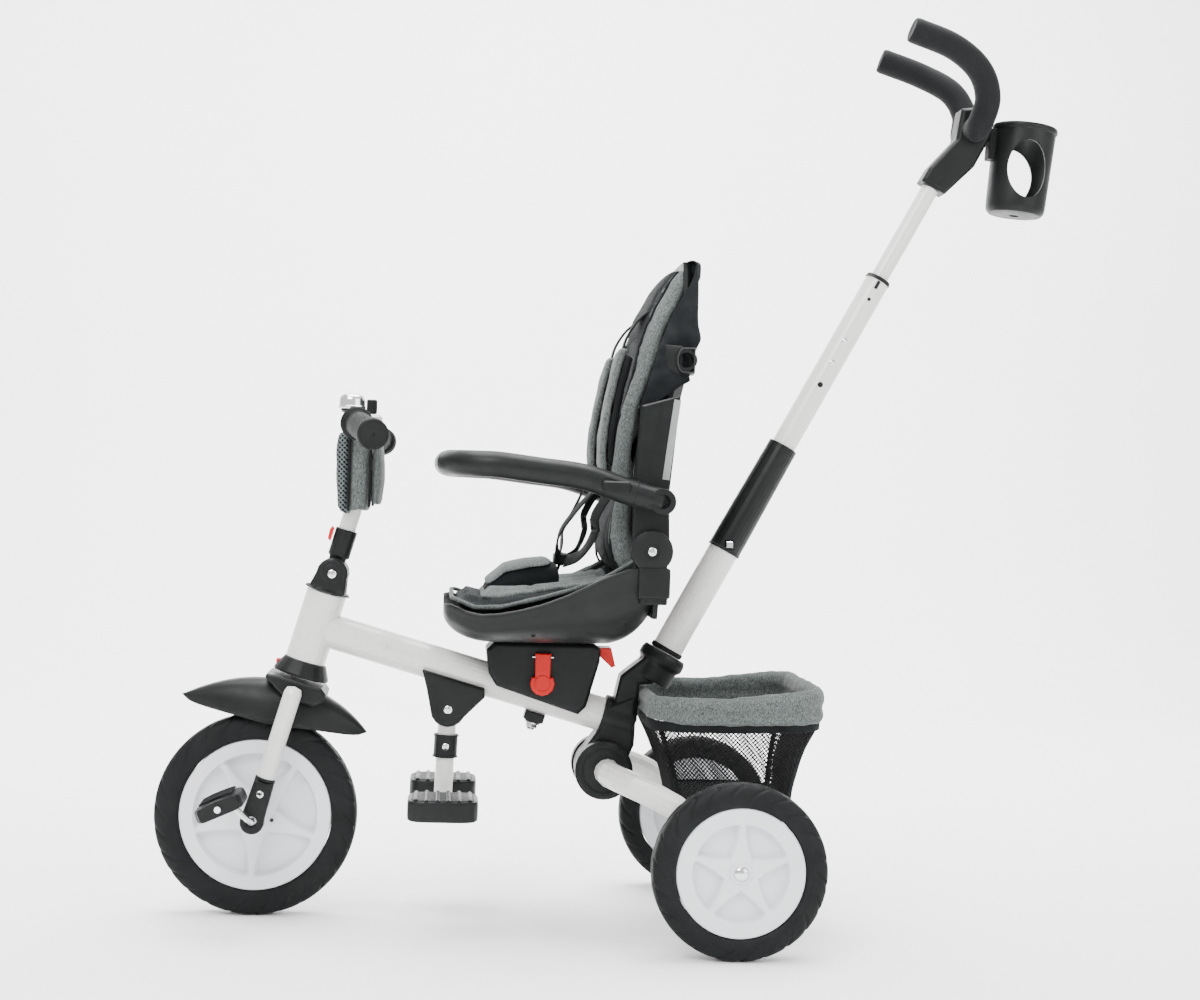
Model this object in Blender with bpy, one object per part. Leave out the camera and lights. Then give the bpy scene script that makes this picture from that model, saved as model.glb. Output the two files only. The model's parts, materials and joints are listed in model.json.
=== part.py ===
"""A child's push tricycle with a parent handle, as an assembly of separate parts.

Metres, +Z up. While it is built, X runs forward from the front axle, Y to the rider's left and
Z up from the floor. At the end the whole model is moved along X, so that its origin is on the
floor under the middle of its box.
"""

import math

import bmesh
import bpy
from mathutils import Matrix, Vector

# ---------------------------------------------------------------- driving dimensions
GAP = 0.0003                 # between pieces that touch
PLAY = 0.0012                # between pieces that move on each other

# Wheels
FRONT_RADIUS = 0.127
FRONT_WIDTH = 0.044
FRONT_RIM = 0.095
REAR_RADIUS = 0.1048
REAR_WIDTH = 0.044
REAR_RIM = 0.077
WHEELBASE = 0.586
REAR_TRACK = 0.420           # between the middles of the rear tyres
RIM_WIDTH = 0.036
HUB_RADIUS = 0.021
AXLE_RADIUS = 0.005
SPOKES = 5

# Steering
HEAD_TILT = math.radians(15.8)
HEAD_RADIUS = 0.0255
HEAD_BOTTOM = 0.2035         # along the steering axis, up from the front axle
HEAD_TOP = 0.2925
COLLAR_HEIGHT = 0.020
COLLAR_RADIUS = 0.036
STEERER_RADIUS = 0.012
STEERER_BORE = 0.0135
CROWN_TOP = 0.1790
CROWN_HALF_LENGTH = 0.0395
CROWN_HALF_WIDTH = 0.0415
CROWN_DROP = 0.025
LEG_RADIUS = 0.0112
GUARD_RADIUS = 0.1725        # crest of the mudguard, from the front axle
GUARD_WALL = 0.0026
GUARD_HALF_WIDTH = 0.0352
BAR_HINGE = 0.3187           # along the steering axis
KNUCKLE_RADIUS = 0.0200
TONGUE_HALF = 0.0115
CHEEK = 0.0125
SOCKET_RADIUS = 0.0140
SOCKET_LENGTH = 0.036
STEM_RADIUS = 0.0110
STEM_TOP = 0.4850
BAR_ALONG = 0.508718         # the handlebar's middle, along the steering line and ahead of it
BAR_AHEAD = 0.027555
BAR_RADIUS = 0.0110
GRIP_RADIUS = 0.0150
GRIP_FLANGE = 0.0205
GRIP_START = 0.0700
GRIP_END = 0.1820
GRIP_SWEEP = 0.0270          # how far back the end of a grip is
GRIP_DROP = 0.0175
BELL_RADIUS = 0.0170

# Frame
MAIN_SLOPE = math.radians(15.6)
MAIN_RADIUS = 0.0220
MAIN_X = -0.2840             # a point on the middle of the main tube
MAIN_Z = 0.3047
MAIN_END = -0.4700
FOLD_X = -0.4366             # axis that the rear wheels fold about
FOLD_Z = 0.1955
FOLD_RADIUS = 0.0368
FOLD_PIN = 0.0085
FOLD_DISC = 0.0200
REAR_LEG_RADIUS = 0.0160
REAR_LEG_Y = 0.1680          # where the leg reaches the wheel

# Push handle
HANDLE_LEAN = math.radians(28.1)
HANDLE_X = -0.5118
HANDLE_Z = 0.3385
LOWER_RADIUS = 0.0200
LOWER_LENGTH = 0.1572
SLEEVE_RADIUS = 0.0215
SLEEVE_END = 0.3133
MIDDLE_RADIUS = 0.0160
MIDDLE_END = 0.5600
UPPER_RADIUS = 0.0115
UPPER_END = 0.7000
HOLE_PITCH = 0.0325
ARM_RADIUS = 0.0165
ARM_SPREAD = 0.0870
HEAD_REAR = -0.9160          # rear face of the handle's head, which holds the cup holder
CUP_RADIUS = 0.0415
CUP_HEIGHT = 0.1160
CUP_WALL = 0.0025

# Seat
SEAT_BASE_FRONT = -0.2834
SEAT_BASE_REAR = -0.4119
SEAT_BASE_TOP = 0.3545
SEAT_BASE_HALF = 0.0370
SEAT_FRONT = -0.2290
SEAT_REAR = -0.4870
SEAT_HALF_WIDTH = 0.1600
SEAT_WALL = 0.0045
RECLINE_X = -0.4757
RECLINE_Z = 0.4779
RECLINE_RADIUS = 0.0255
COLUMN_HALF = 0.0060         # thickness of a recline ear, halved
BACK_HALF_WIDTH = SEAT_HALF_WIDTH - 0.0270
BACK_TOP = 0.8360
BAR_PIVOT_X = -0.4845
BAR_PIVOT_Z = 0.5383
BUMPER_RADIUS = 0.0158
BUMPER_FRONT = -0.2300
BUMPER_HALF_WIDTH = SEAT_HALF_WIDTH + 0.0090

# Footrest
FOOT_PIVOT_X = -0.2377
FOOT_PIVOT_Z = 0.2667
FOOT_HALF = 0.0300
FOOT_BAR_Z = 0.1510
PAD_LENGTH = 0.0870
PAD_WIDTH = 0.0800
PAD_Y = 0.0850

# Basket
BASKET_FRONT = -0.4880
BASKET_REAR = -0.6960
BASKET_HALF = 0.1300
BASKET_TOP = 0.2990
BASKET_BAND = 0.0330
BASKET_FLOOR = 0.1620
BASKET_WALL = 0.0030


# ---------------------------------------------------------------- materials
def plastic(name, colour, roughness, metallic=0.0):
    material = bpy.data.materials.new(name)
    material.use_nodes = True
    shader = material.node_tree.nodes["Principled BSDF"]
    shader.inputs["Base Color"].default_value = (*colour, 1.0)
    shader.inputs["Roughness"].default_value = roughness
    shader.inputs["Metallic"].default_value = metallic
    material.diffuse_color = (*colour, 1.0)
    return material


def make_materials():
    return {
        "white": plastic("white_paint", (0.80, 0.80, 0.78), 0.25),
        "black": plastic("black_plastic", (0.030, 0.032, 0.033), 0.45),
        "rim": plastic("white_plastic", (0.70, 0.74, 0.78), 0.40),
        "tyre": plastic("black_foam_rubber", (0.018, 0.018, 0.019), 0.75),
        "red": plastic("red_plastic", (0.55, 0.02, 0.02), 0.35),
        "steel": plastic("bright_steel", (0.62, 0.62, 0.63), 0.22, 1.0),
        "grey": plastic("grey_fabric", (0.16, 0.17, 0.17), 0.90),
        "cloth": plastic("black_fabric", (0.022, 0.023, 0.025), 0.92),
        "foam": plastic("handle_foam", (0.026, 0.026, 0.028), 0.85),
        "grip": plastic("grey_rubber", (0.20, 0.21, 0.22), 0.70),
    }


# ---------------------------------------------------------------- modelling helpers
def clear_scene():
    for old in list(bpy.data.objects):
        bpy.data.objects.remove(old, do_unlink=True)


def axis_empty(name, point, parent=None):
    """An empty on a joint's axis, which the moving pieces hang from."""
    empty = bpy.data.objects.new(name, None)
    bpy.context.scene.collection.objects.link(empty)
    empty.location = point
    hang(empty, parent)
    return empty


def hang(piece, parent):
    """Parents a piece and keeps it where it is."""
    bpy.context.view_layer.update()
    if parent is not None:
        piece.parent = parent
        piece.matrix_parent_inverse = parent.matrix_world.inverted()


def finish(name, bm, material, parent, smooth=35.0):
    bmesh.ops.recalc_face_normals(bm, faces=bm.faces)
    mesh = bpy.data.meshes.new(name)
    bm.to_mesh(mesh)
    bm.free()
    mesh.materials.append(material)
    mesh.shade_smooth()
    mesh.set_sharp_from_angle(angle=math.radians(smooth))
    piece = bpy.data.objects.new(name, mesh)
    bpy.context.scene.collection.objects.link(piece)
    hang(piece, parent)
    return piece


def frame_along(direction):
    """A rotation that takes +Z to the direction."""
    return Vector(direction).normalized().to_track_quat("Z", "Y").to_matrix().to_4x4()


def turned(name, profile, origin, direction, material, parent=None, sides=24):
    """A closed outline of (radius, height) points turned about the axis."""
    bm = bmesh.new()
    rings = []
    for radius, height in profile:
        if radius < 1e-7:
            rings.append([bm.verts.new((0.0, 0.0, height))])
            continue
        turns = [2.0 * math.pi * i / sides for i in range(sides)]
        ring = [bm.verts.new((radius * math.cos(t), radius * math.sin(t), height)) for t in turns]
        rings.append(ring)
    pairs = list(zip(rings, rings[1:]))
    if len(rings[0]) > 1:
        pairs.append((rings[-1], rings[0]))
    for low, high in pairs:
        for i in range(sides):
            j = (i + 1) % sides
            corners = []
            for vert in (low[i % len(low)], low[j % len(low)], high[j % len(high)], high[i % len(high)]):
                if vert not in corners:
                    corners.append(vert)
            if len(corners) > 2:
                bm.faces.new(corners)
    bm.transform(Matrix.Translation(origin) @ frame_along(direction))
    return finish(name, bm, material, parent)


def rod(name, start, end, radius, material, parent=None, sides=16, bore=0.0):
    """A straight round bar, or a tube if it has a bore."""
    length = (Vector(end) - Vector(start)).length
    inner = bore if bore > 0.0 else 0.0
    profile = [(inner, 0.0), (radius, 0.0), (radius, length), (inner, length)]
    return turned(name, profile, start, Vector(end) - Vector(start), material, parent, sides)


def smooth_path(points, steps):
    """Points on a smooth curve through the given ones."""
    knots = [Vector(p) for p in points]
    knots = [2.0 * knots[0] - knots[1], *knots, 2.0 * knots[-1] - knots[-2]]
    path = []
    for a, b, c, d in zip(knots, knots[1:], knots[2:], knots[3:]):
        for i in range(steps):
            t = i / steps
            path.append(0.5 * (2.0 * b + (c - a) * t + (2.0 * a - 5.0 * b + 4.0 * c - d) * t * t
                               + (3.0 * b - a - 3.0 * c + d) * t ** 3))
    return [*path, knots[-2]]


def swept(name, points, section, material, parent=None, up=(0.0, 0.0, 1.0), leaves=None):
    """An outline swept along a path. Its x runs sideways and its y towards up.

    The first ring faces the direction in leaves, if that is given.
    """
    bm = bmesh.new()
    rings = []
    for i, point in enumerate(points):
        ahead = points[min(i + 1, len(points) - 1)] - points[max(i - 1, 0)]
        if i == 0 and leaves is not None:
            ahead = Vector(leaves)
        side = ahead.cross(Vector(up)).normalized()
        rise = side.cross(ahead).normalized()
        rings.append([bm.verts.new(point + side * x + rise * y) for x, y in section])
    count = len(section)
    for low, high in zip(rings, rings[1:]):
        for i in range(count):
            bm.faces.new((low[i], low[(i + 1) % count], high[(i + 1) % count], high[i]))
    bm.faces.new(rings[0])
    bm.faces.new(rings[-1])
    return finish(name, bm, material, parent)


def circle(radius, sides, squash=1.0):
    turns = [2.0 * math.pi * i / sides for i in range(sides)]
    return [(radius * math.cos(t), radius * squash * math.sin(t)) for t in turns]


def block(name, low, high, material, parent=None, bevel=0.0, turn=None, about=None, segments=1):
    """A box between two corners, turned about a point if asked, with rounded edges."""
    bm = bmesh.new()
    bmesh.ops.create_cube(bm, size=1.0)
    low, high = Vector(low), Vector(high)
    size = high - low
    middle = 0.5 * (low + high)
    bm.transform(Matrix.Translation(middle) @ Matrix.Diagonal((*size, 1.0)))
    if bevel > 0.0:
        bmesh.ops.bevel(bm, geom=bm.edges[:], offset=bevel, segments=segments, affect="EDGES")
    if turn is not None:
        about = Vector(about) if about is not None else middle
        bm.transform(Matrix.Translation(about) @ Matrix.Rotation(turn, 4, "Y") @ Matrix.Translation(-about))
    return finish(name, bm, material, parent)


def prism(name, outline, half, material, parent=None, bevel=0.0, offset=0.0):
    """An outline in the XZ plane, thickened to half on each side of the plane at y = offset."""
    bm = bmesh.new()
    face = bm.faces.new([bm.verts.new((x, offset - half, z)) for x, z in outline])
    grown = bmesh.ops.extrude_face_region(bm, geom=[face])
    moved = [item for item in grown["geom"] if isinstance(item, bmesh.types.BMVert)]
    bmesh.ops.translate(bm, verts=moved, vec=(0.0, 2.0 * half, 0.0))
    if bevel > 0.0:
        rims = [e for e in bm.edges if abs(e.verts[0].co.y - e.verts[1].co.y) < 1e-6]
        bmesh.ops.bevel(bm, geom=rims, offset=bevel, segments=1, affect="EDGES")
    return finish(name, bm, material, parent)


def arc(centre, radius, start, end, count):
    """Points on an arc in the XZ plane, with angles in degrees."""
    turns = [math.radians(start + (end - start) * i / (count - 1)) for i in range(count)]
    return [(centre[0] + radius * math.cos(t), centre[1] + radius * math.sin(t)) for t in turns]


def combine(target, tool, operation):
    """A Boolean with a hidden helper."""
    tool.hide_render = True
    tool.display_type = "WIRE"
    modifier = target.modifiers.new(tool.name, "BOOLEAN")
    modifier.operation = operation
    modifier.solver = "EXACT"
    modifier.object = tool


def cut(target, *tools):
    for tool in tools:
        combine(target, tool, "DIFFERENCE")


def add(target, *tools):
    for tool in tools:
        combine(target, tool, "UNION")


# ---------------------------------------------------------------- places on the sloping axes
def head(s, forward=0.0, y=0.0):
    """A point at height s on the steering axis, measured from the front axle."""
    up = Vector((-math.sin(HEAD_TILT), 0.0, math.cos(HEAD_TILT)))
    ahead = Vector((math.cos(HEAD_TILT), 0.0, math.sin(HEAD_TILT)))
    return Vector((0.0, y, FRONT_RADIUS)) + up * s + ahead * forward


def along_handle(s, forward=0.0, y=0.0):
    """A point at height s on the push handle's axis, measured from its socket."""
    up = Vector((-math.sin(HANDLE_LEAN), 0.0, math.cos(HANDLE_LEAN)))
    ahead = Vector((math.cos(HANDLE_LEAN), 0.0, math.sin(HANDLE_LEAN)))
    return Vector((HANDLE_X, y, HANDLE_Z)) + up * s + ahead * forward


def main_point(x, above=0.0, y=0.0):
    """A point over the main tube's middle line at a given x."""
    z = MAIN_Z + (x - MAIN_X) * math.tan(MAIN_SLOPE)
    normal = Vector((-math.sin(MAIN_SLOPE), 0.0, math.cos(MAIN_SLOPE)))
    return Vector((x, y, z)) + normal * above


HEAD_UP = (-math.sin(HEAD_TILT), 0.0, math.cos(HEAD_TILT))
HANDLE_UP = (-math.sin(HANDLE_LEAN), 0.0, math.cos(HANDLE_LEAN))
LEFT = (0.0, 1.0, 0.0)


# ---------------------------------------------------------------- wheels
def make_tyre(name, centre, radius, rim, width, material, parent):
    half = 0.5 * width
    sides = 32
    inner = (rim + GAP) / math.cos(math.pi / sides)
    profile = [
        (inner, -0.80 * half),
        (radius - 0.40 * half, -half),
        (radius - 0.14 * half, -0.72 * half),
        (radius, -0.28 * half),
        (radius, 0.28 * half),
        (radius - 0.14 * half, 0.72 * half),
        (radius - 0.40 * half, half),
        (inner, 0.80 * half),
    ]
    return turned(name, profile, centre, LEFT, material, parent, sides)


def make_rim(name, centre, rim, bore, material, parent):
    """A moulded rim: a flat ring and a hub joined by five spokes, with pockets between them."""
    half = 0.5 * RIM_WIDTH
    per_spoke = 5
    steps = SPOKES * per_spoke
    rings = (bore, HUB_RADIUS, HUB_RADIUS + 0.004, 0.74 * rim, 0.74 * rim + 0.003, rim)
    deep, shallow = 0.30 * half, 0.80 * half
    bm = bmesh.new()
    sides = {}
    for sign in (-1.0, 1.0):
        grid = []
        for level, radius in enumerate(rings):
            row = []
            for step in range(steps):
                angle = 2.0 * math.pi * (step + 0.5) / steps + 0.5 * math.pi - math.pi / SPOKES
                in_pocket = level in (2, 3) and 1 <= step % per_spoke <= 3
                height = deep if in_pocket else (shallow if level in (2, 3) else half)
                point = (radius * math.cos(angle), sign * height, radius * math.sin(angle))
                row.append(bm.verts.new(point))
            grid.append(row)
        sides[sign] = grid
    for grid in sides.values():
        for inner, outer in zip(grid, grid[1:]):
            for i in range(steps):
                j = (i + 1) % steps
                bm.faces.new((inner[i], inner[j], outer[j], outer[i]))
    for level in (0, len(rings) - 1):
        near, far = sides[-1.0][level], sides[1.0][level]
        for i in range(steps):
            j = (i + 1) % steps
            bm.faces.new((near[i], near[j], far[j], far[i]))
    bm.transform(Matrix.Translation(centre))
    return finish(name, bm, material, parent, smooth=25.0)


def make_front_wheel(mats, steering):
    axle = axis_empty("front_axle_line", (0.0, 0.0, FRONT_RADIUS), steering)
    centre = (0.0, 0.0, FRONT_RADIUS)
    make_tyre("front_tyre", centre, FRONT_RADIUS, FRONT_RIM, FRONT_WIDTH, mats["tyre"], axle)
    make_rim("front_rim", centre, FRONT_RIM, AXLE_RADIUS + PLAY, mats["rim"], axle)
    return axle


def make_rear_wheels(mats, fold):
    for side, sign in (("left", 1.0), ("right", -1.0)):
        centre = (-WHEELBASE, 0.5 * sign * REAR_TRACK, REAR_RADIUS)
        axle = axis_empty("rear_axle_" + side, centre, fold)
        make_tyre("rear_tyre_" + side, centre, REAR_RADIUS, REAR_RIM, REAR_WIDTH, mats["tyre"], axle)
        make_rim("rear_rim_" + side, centre, REAR_RIM, AXLE_RADIUS + PLAY, mats["rim"], axle)


# ---------------------------------------------------------------- fork and steering
def make_mudguard(mats, steering):
    """A saddle over the tyre that runs to a point at both ends."""
    front, rear = math.radians(57.0), math.radians(142.0)
    length_steps, width_steps = 12, 6
    bm = bmesh.new()
    skins = []
    for wall in (0.0, GUARD_WALL):
        rows = []
        for i in range(length_steps + 1):
            t = i / length_steps
            angle = front + (rear - front) * t
            spread = max(math.sin(math.pi * t), 0.0) ** 0.6
            crest = GUARD_RADIUS + 0.006 * (1.0 - t) * (1.0 - spread)
            drop = 0.052 * spread
            row = []
            for j in range(width_steps + 1):
                across = 2.0 * j / width_steps - 1.0
                half = (GUARD_HALF_WIDTH - wall) * (0.10 + 0.90 * spread)
                y = half * math.sin(0.5 * math.pi * across)
                fall = drop * (1.0 - math.cos(0.5 * math.pi * across)) ** 1.3
                radius = crest - wall - fall
                row.append(bm.verts.new((radius * math.cos(angle), y, radius * math.sin(angle))))
            rows.append(row)
        skins.append(rows)
    for rows in skins:
        for low, high in zip(rows, rows[1:]):
            for a, b, c, d in zip(low, low[1:], high[1:], high):
                bm.faces.new((a, b, c, d))
    outer, inner = skins
    for edge in (0, -1):
        for (a, b), (c, d) in zip(zip(outer, outer[1:]), zip(inner, inner[1:])):
            bm.faces.new((a[edge], b[edge], d[edge], c[edge]))
        for (a, b), (c, d) in zip(zip(outer[edge], outer[edge][1:]), zip(inner[edge], inner[edge][1:])):
            bm.faces.new((a, b, d, c))
    bm.transform(Matrix.Translation((0.0, 0.0, FRONT_RADIUS)))
    return finish("mudguard", bm, mats["black"], steering, smooth=60.0)


def make_fork(mats, steering):
    leg_y = CROWN_HALF_WIDTH + GAP + LEG_RADIUS
    low, high = -CROWN_HALF_LENGTH, CROWN_HALF_LENGTH
    outline = [(low, CROWN_TOP - CROWN_DROP + 0.010), (low + 0.010, CROWN_TOP - CROWN_DROP),
               (high - 0.030, CROWN_TOP - CROWN_DROP), (high, CROWN_TOP - CROWN_DROP + 0.018),
               (high, CROWN_TOP - 0.002), (high - 0.014, CROWN_TOP), (low + 0.008, CROWN_TOP),
               (low, CROWN_TOP - 0.006)]
    placed = [(head(s, x).x, head(s, x).z) for x, s in outline]
    crown = prism("crown_cover", placed, CROWN_HALF_WIDTH, mats["black"], steering, bevel=0.003)
    channel = rod("crown_channel", (0.0, -GUARD_HALF_WIDTH - PLAY, FRONT_RADIUS),
                  (0.0, GUARD_HALF_WIDTH + PLAY, FRONT_RADIUS), GUARD_RADIUS + PLAY,
                  mats["black"], steering, sides=64)
    cut(crown, channel)
    rod("steerer_tube", head(CROWN_TOP + GAP), head(HEAD_TOP + PLAY), STEERER_RADIUS,
        mats["steel"], steering, sides=20, bore=0.009)
    for side, sign in (("left", 1.0), ("right", -1.0)):
        y = sign * leg_y
        profile = [(0.0, 0.0), (LEG_RADIUS, 0.0), (LEG_RADIUS, 0.112), (0.8 * LEG_RADIUS, 0.1185), (0.0,
                                                                                                    0.121)]
        turned("fork_leg_" + side, profile, head(0.0525, 0.0, y), HEAD_UP, mats["white"], steering, 16)
        bottom = [(head(s, x).x, head(s, x).z) for x, s in ((0.0125, 0.046), (0.0125, 0.052), (-0.0125,
                                                                                               0.052), (-0.0125, 0.046))]
        tip = arc((0.0, FRONT_RADIUS - 0.002), 0.0150, -190.0, 10.0, 9)
        end = prism("fork_end_" + side, [*bottom, *tip], 0.0110, mats["black"], steering,
                    bevel=0.003, offset=y)
        bore = rod("crank_bore_" + side, (0.0, y - 0.02, FRONT_RADIUS), (0.0, y + 0.02, FRONT_RADIUS),
                   AXLE_RADIUS + PLAY, mats["black"], steering, sides=12)
        cut(end, bore)


def make_yoke(mats, steering):
    """The upper collar with the two cheeks of the handlebar hinge."""
    start = HEAD_TOP + PLAY
    profile = [(0.0, start + GAP), (0.0290, start + GAP), (0.0295, start + 0.0025), (0.0262, start + 0.0045),
               (0.0, start + 0.0045)]
    yoke = turned("upper_yoke", profile, head(0.0), HEAD_UP, mats["black"], steering, 24)
    outline = arc((0.0, 0.0), KNUCKLE_RADIUS, -10.0, 190.0, 10)
    outline = [(x, BAR_HINGE + z) for x, z in outline]
    outline += [(-0.0235, start + 0.003), (0.0235, start + 0.003)]
    placed = [(head(s, x).x, head(s, x).z) for x, s in outline]
    middle = TONGUE_HALF + PLAY + 0.5 * CHEEK
    for side, sign in (("left", 1.0), ("right", -1.0)):
        cheek = prism("yoke_cheek_" + side, placed, 0.5 * CHEEK, mats["black"], steering,
                      bevel=0.0025, offset=sign * middle)
        add(yoke, cheek)


def make_steering(mats, frame_line):
    steering = axis_empty("steering_line", head(0.0), frame_line)
    make_fork(mats, steering)
    make_mudguard(mats, steering)
    make_yoke(mats, steering)
    make_front_wheel(mats, steering)
    make_crank(mats, steering)
    make_handlebar(mats, steering)


def make_crank(mats, steering):
    """One bent rod: left spindle, arm, axle, arm and right spindle, and the pedals on it."""
    line = axis_empty("crank_line", (0.0, 0.0, FRONT_RADIUS), steering)
    arm = Vector((0.0310, 0.0, 0.0300))
    bend = 0.0740
    reach = 0.1600
    middle = Vector((0.0, 0.0, FRONT_RADIUS))
    half = [middle, middle + Vector((0.0, bend - 0.006, 0.0)), middle + Vector((0.0, bend, 0.0)) + 0.14 * arm,
            middle + Vector((0.0, bend + 0.004, 0.0)) + 0.86 * arm,
            middle + Vector((0.0, bend + 0.010, 0.0)) + arm, middle + Vector((0.0, reach, 0.0)) + arm]
    # The far arm points the opposite way, half a turn about the axle.
    opposite = [Vector((-(p.x), -p.y, 2.0 * FRONT_RADIUS - p.z)) for p in half]
    path = [*reversed(opposite), *half[1:]]
    swept("crank_axle", path, circle(0.0041, 8), mats["steel"], line, up=(0.8, 0.0, -0.6))
    for side, sign in (("left", 1.0), ("right", -1.0)):
        spot = middle + sign * arm
        spindle = axis_empty("pedal_line_" + side, (spot.x, 0.0, spot.z), line)
        low = (spot.x - 0.029, sign * 0.0885 if sign > 0 else -0.1560, spot.z - 0.0090)
        high = (spot.x + 0.029, 0.1560 if sign > 0 else -0.0885, spot.z + 0.0090)
        pedal = block("pedal_" + side, low, high, mats["black"], spindle, bevel=0.004,
                      turn=math.radians(24.0), about=(spot.x, 0.0, spot.z))
        bore = rod("pedal_bore_" + side, (spot.x, sign * 0.07, spot.z), (spot.x, sign * 0.18, spot.z),
                   0.0041 + PLAY, mats["black"], spindle, sides=12)
        cut(pedal, bore)


def make_handlebar(mats, steering):
    hinge = axis_empty("bar_fold_line", head(BAR_HINGE), steering)
    disc = rod("stem_socket", head(BAR_HINGE, 0.0, -TONGUE_HALF), head(BAR_HINGE, 0.0, TONGUE_HALF),
               KNUCKLE_RADIUS - 0.0005, mats["black"], hinge, sides=24)
    bottom = BAR_HINGE + KNUCKLE_RADIUS + 0.0022
    top = bottom + SOCKET_LENGTH
    neck = [(head(s, x).x, head(s, x).z) for x, s in (
        (-0.0105, BAR_HINGE), (0.0105, BAR_HINGE), (0.0105, bottom + 0.002), (-0.0105, bottom + 0.002))]
    prong = prism("socket_neck", neck, TONGUE_HALF - 0.0005, mats["black"], hinge)
    profile = [(0.0, bottom), (SOCKET_RADIUS, bottom), (SOCKET_RADIUS, top), (STEM_RADIUS + PLAY, top),
               (STEM_RADIUS + PLAY, bottom + 0.004), (0.0, bottom + 0.004)]
    socket = turned("socket_body", profile, head(0.0), HEAD_UP, mats["black"], hinge, 20)
    add(disc, prong, socket)
    lever = [(head(s, x).x, head(s, x).z) for x, s in (
        (SOCKET_RADIUS + 0.0016, top - 0.020), (SOCKET_RADIUS + 0.0016, top - 0.003),
        (SOCKET_RADIUS + 0.0050, top - 0.001), (SOCKET_RADIUS + 0.0066, top - 0.006),
        (SOCKET_RADIUS + 0.0055, top - 0.018))]
    prism("stem_lever", lever, 0.0070, mats["red"], axis_empty("stem_lever_line", head(top - 0.020,
                                                                                       SOCKET_RADIUS + 0.0016), hinge), bevel=0.0)
    bars = axis_empty("stem_line", head(top), hinge)
    stem = rod("stem_and_bar", head(bottom + 0.006), head(STEM_TOP), STEM_RADIUS, mats["white"], bars,
               sides=20)
    centre = head(BAR_ALONG, BAR_AHEAD)
    sweep = Vector((-GRIP_SWEEP, GRIP_END - GRIP_START, -GRIP_DROP))
    ends = [centre + Vector((0.0, GRIP_START, 0.0)), centre + Vector((0.0, GRIP_START, 0.0)) + 0.94 * sweep]
    mirrored = [Vector((p.x, -p.y, p.z)) for p in ends]
    bar = swept("bar_tube", [ends[1], ends[0], centre, mirrored[0], mirrored[1]], circle(BAR_RADIUS, 14),
                mats["white"], bars)
    joint = block("bar_clamp", centre - Vector((0.031, 0.018, 0.040)), centre + Vector((0.014, 0.018, 0.013)),
                  mats["black"], bars, bevel=0.004)
    add(stem, bar, joint)
    for side, sign in (("left", 1.0), ("right", -1.0)):
        run = Vector((sweep.x, sign * sweep.y, sweep.z))
        start = centre + Vector((0.0, sign * GRIP_START, 0.0)) + 0.06 * run
        end = centre + Vector((0.0, sign * GRIP_START, 0.0)) + run
        long = (end - start).length
        bore = BAR_RADIUS + 0.0005
        profile = [(bore, 0.0), (0.0150, 0.0), (GRIP_FLANGE, 0.002), (GRIP_FLANGE, 0.006), (GRIP_RADIUS,
                                                                                            0.009),
                   (0.0162, 0.5 * long), (GRIP_RADIUS, long - 0.014), (0.0185, long - 0.010),
                   (0.0185, long - 0.003), (0.0165, long), (0.0, long), (0.0, long - 0.004), (bore,
                                                                                              long - 0.004)]
        turned("grip_" + side, profile, start, end - start, mats["black"], bars, 20)
    bell_at = centre + Vector((0.006, 0.040, BAR_RADIUS + 0.001))
    dome = [(0.0, 0.0), (0.74 * BELL_RADIUS, 0.0), (0.94 * BELL_RADIUS, 0.004), (BELL_RADIUS, 0.0078),
            (BELL_RADIUS, 0.0108), (0.93 * BELL_RADIUS, 0.0168), (0.70 * BELL_RADIUS, 0.0220),
            (0.35 * BELL_RADIUS, 0.0246), (0.0, 0.0254)]
    turned("bell", dome, bell_at, (0.0, 0.0, 1.0), mats["steel"], bars, 20)
    spot = bell_at + Vector((-BELL_RADIUS - 0.0012, 0.0, 0.004))
    push = axis_empty("bell_lever_line", spot, bars)
    block("bell_lever", spot + Vector((-0.013, -0.004, -0.004)), spot + Vector((0.0, 0.004, 0.014)),
          mats["black"], push, bevel=0.0015)
    bag = block("bar_bag", centre - Vector((0.0320, 0.0600, 0.1090)),
                centre + Vector((0.0250, 0.0600, -BAR_RADIUS - 0.0050)), mats["grey"], bars, bevel=0.006)
    channel = rod("bag_stem_channel", head(STEM_TOP - 0.16), head(STEM_TOP + 0.05), STEM_RADIUS + 0.0016,
                  mats["grey"], bars, sides=20)
    well = block("bag_clamp_well", centre - Vector((0.0325, 0.0195, 0.0415)), centre + Vector((0.0155,
                                                                                               0.0195, 0.05)),
                 mats["grey"], bars)
    cut(bag, channel, well)


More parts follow.
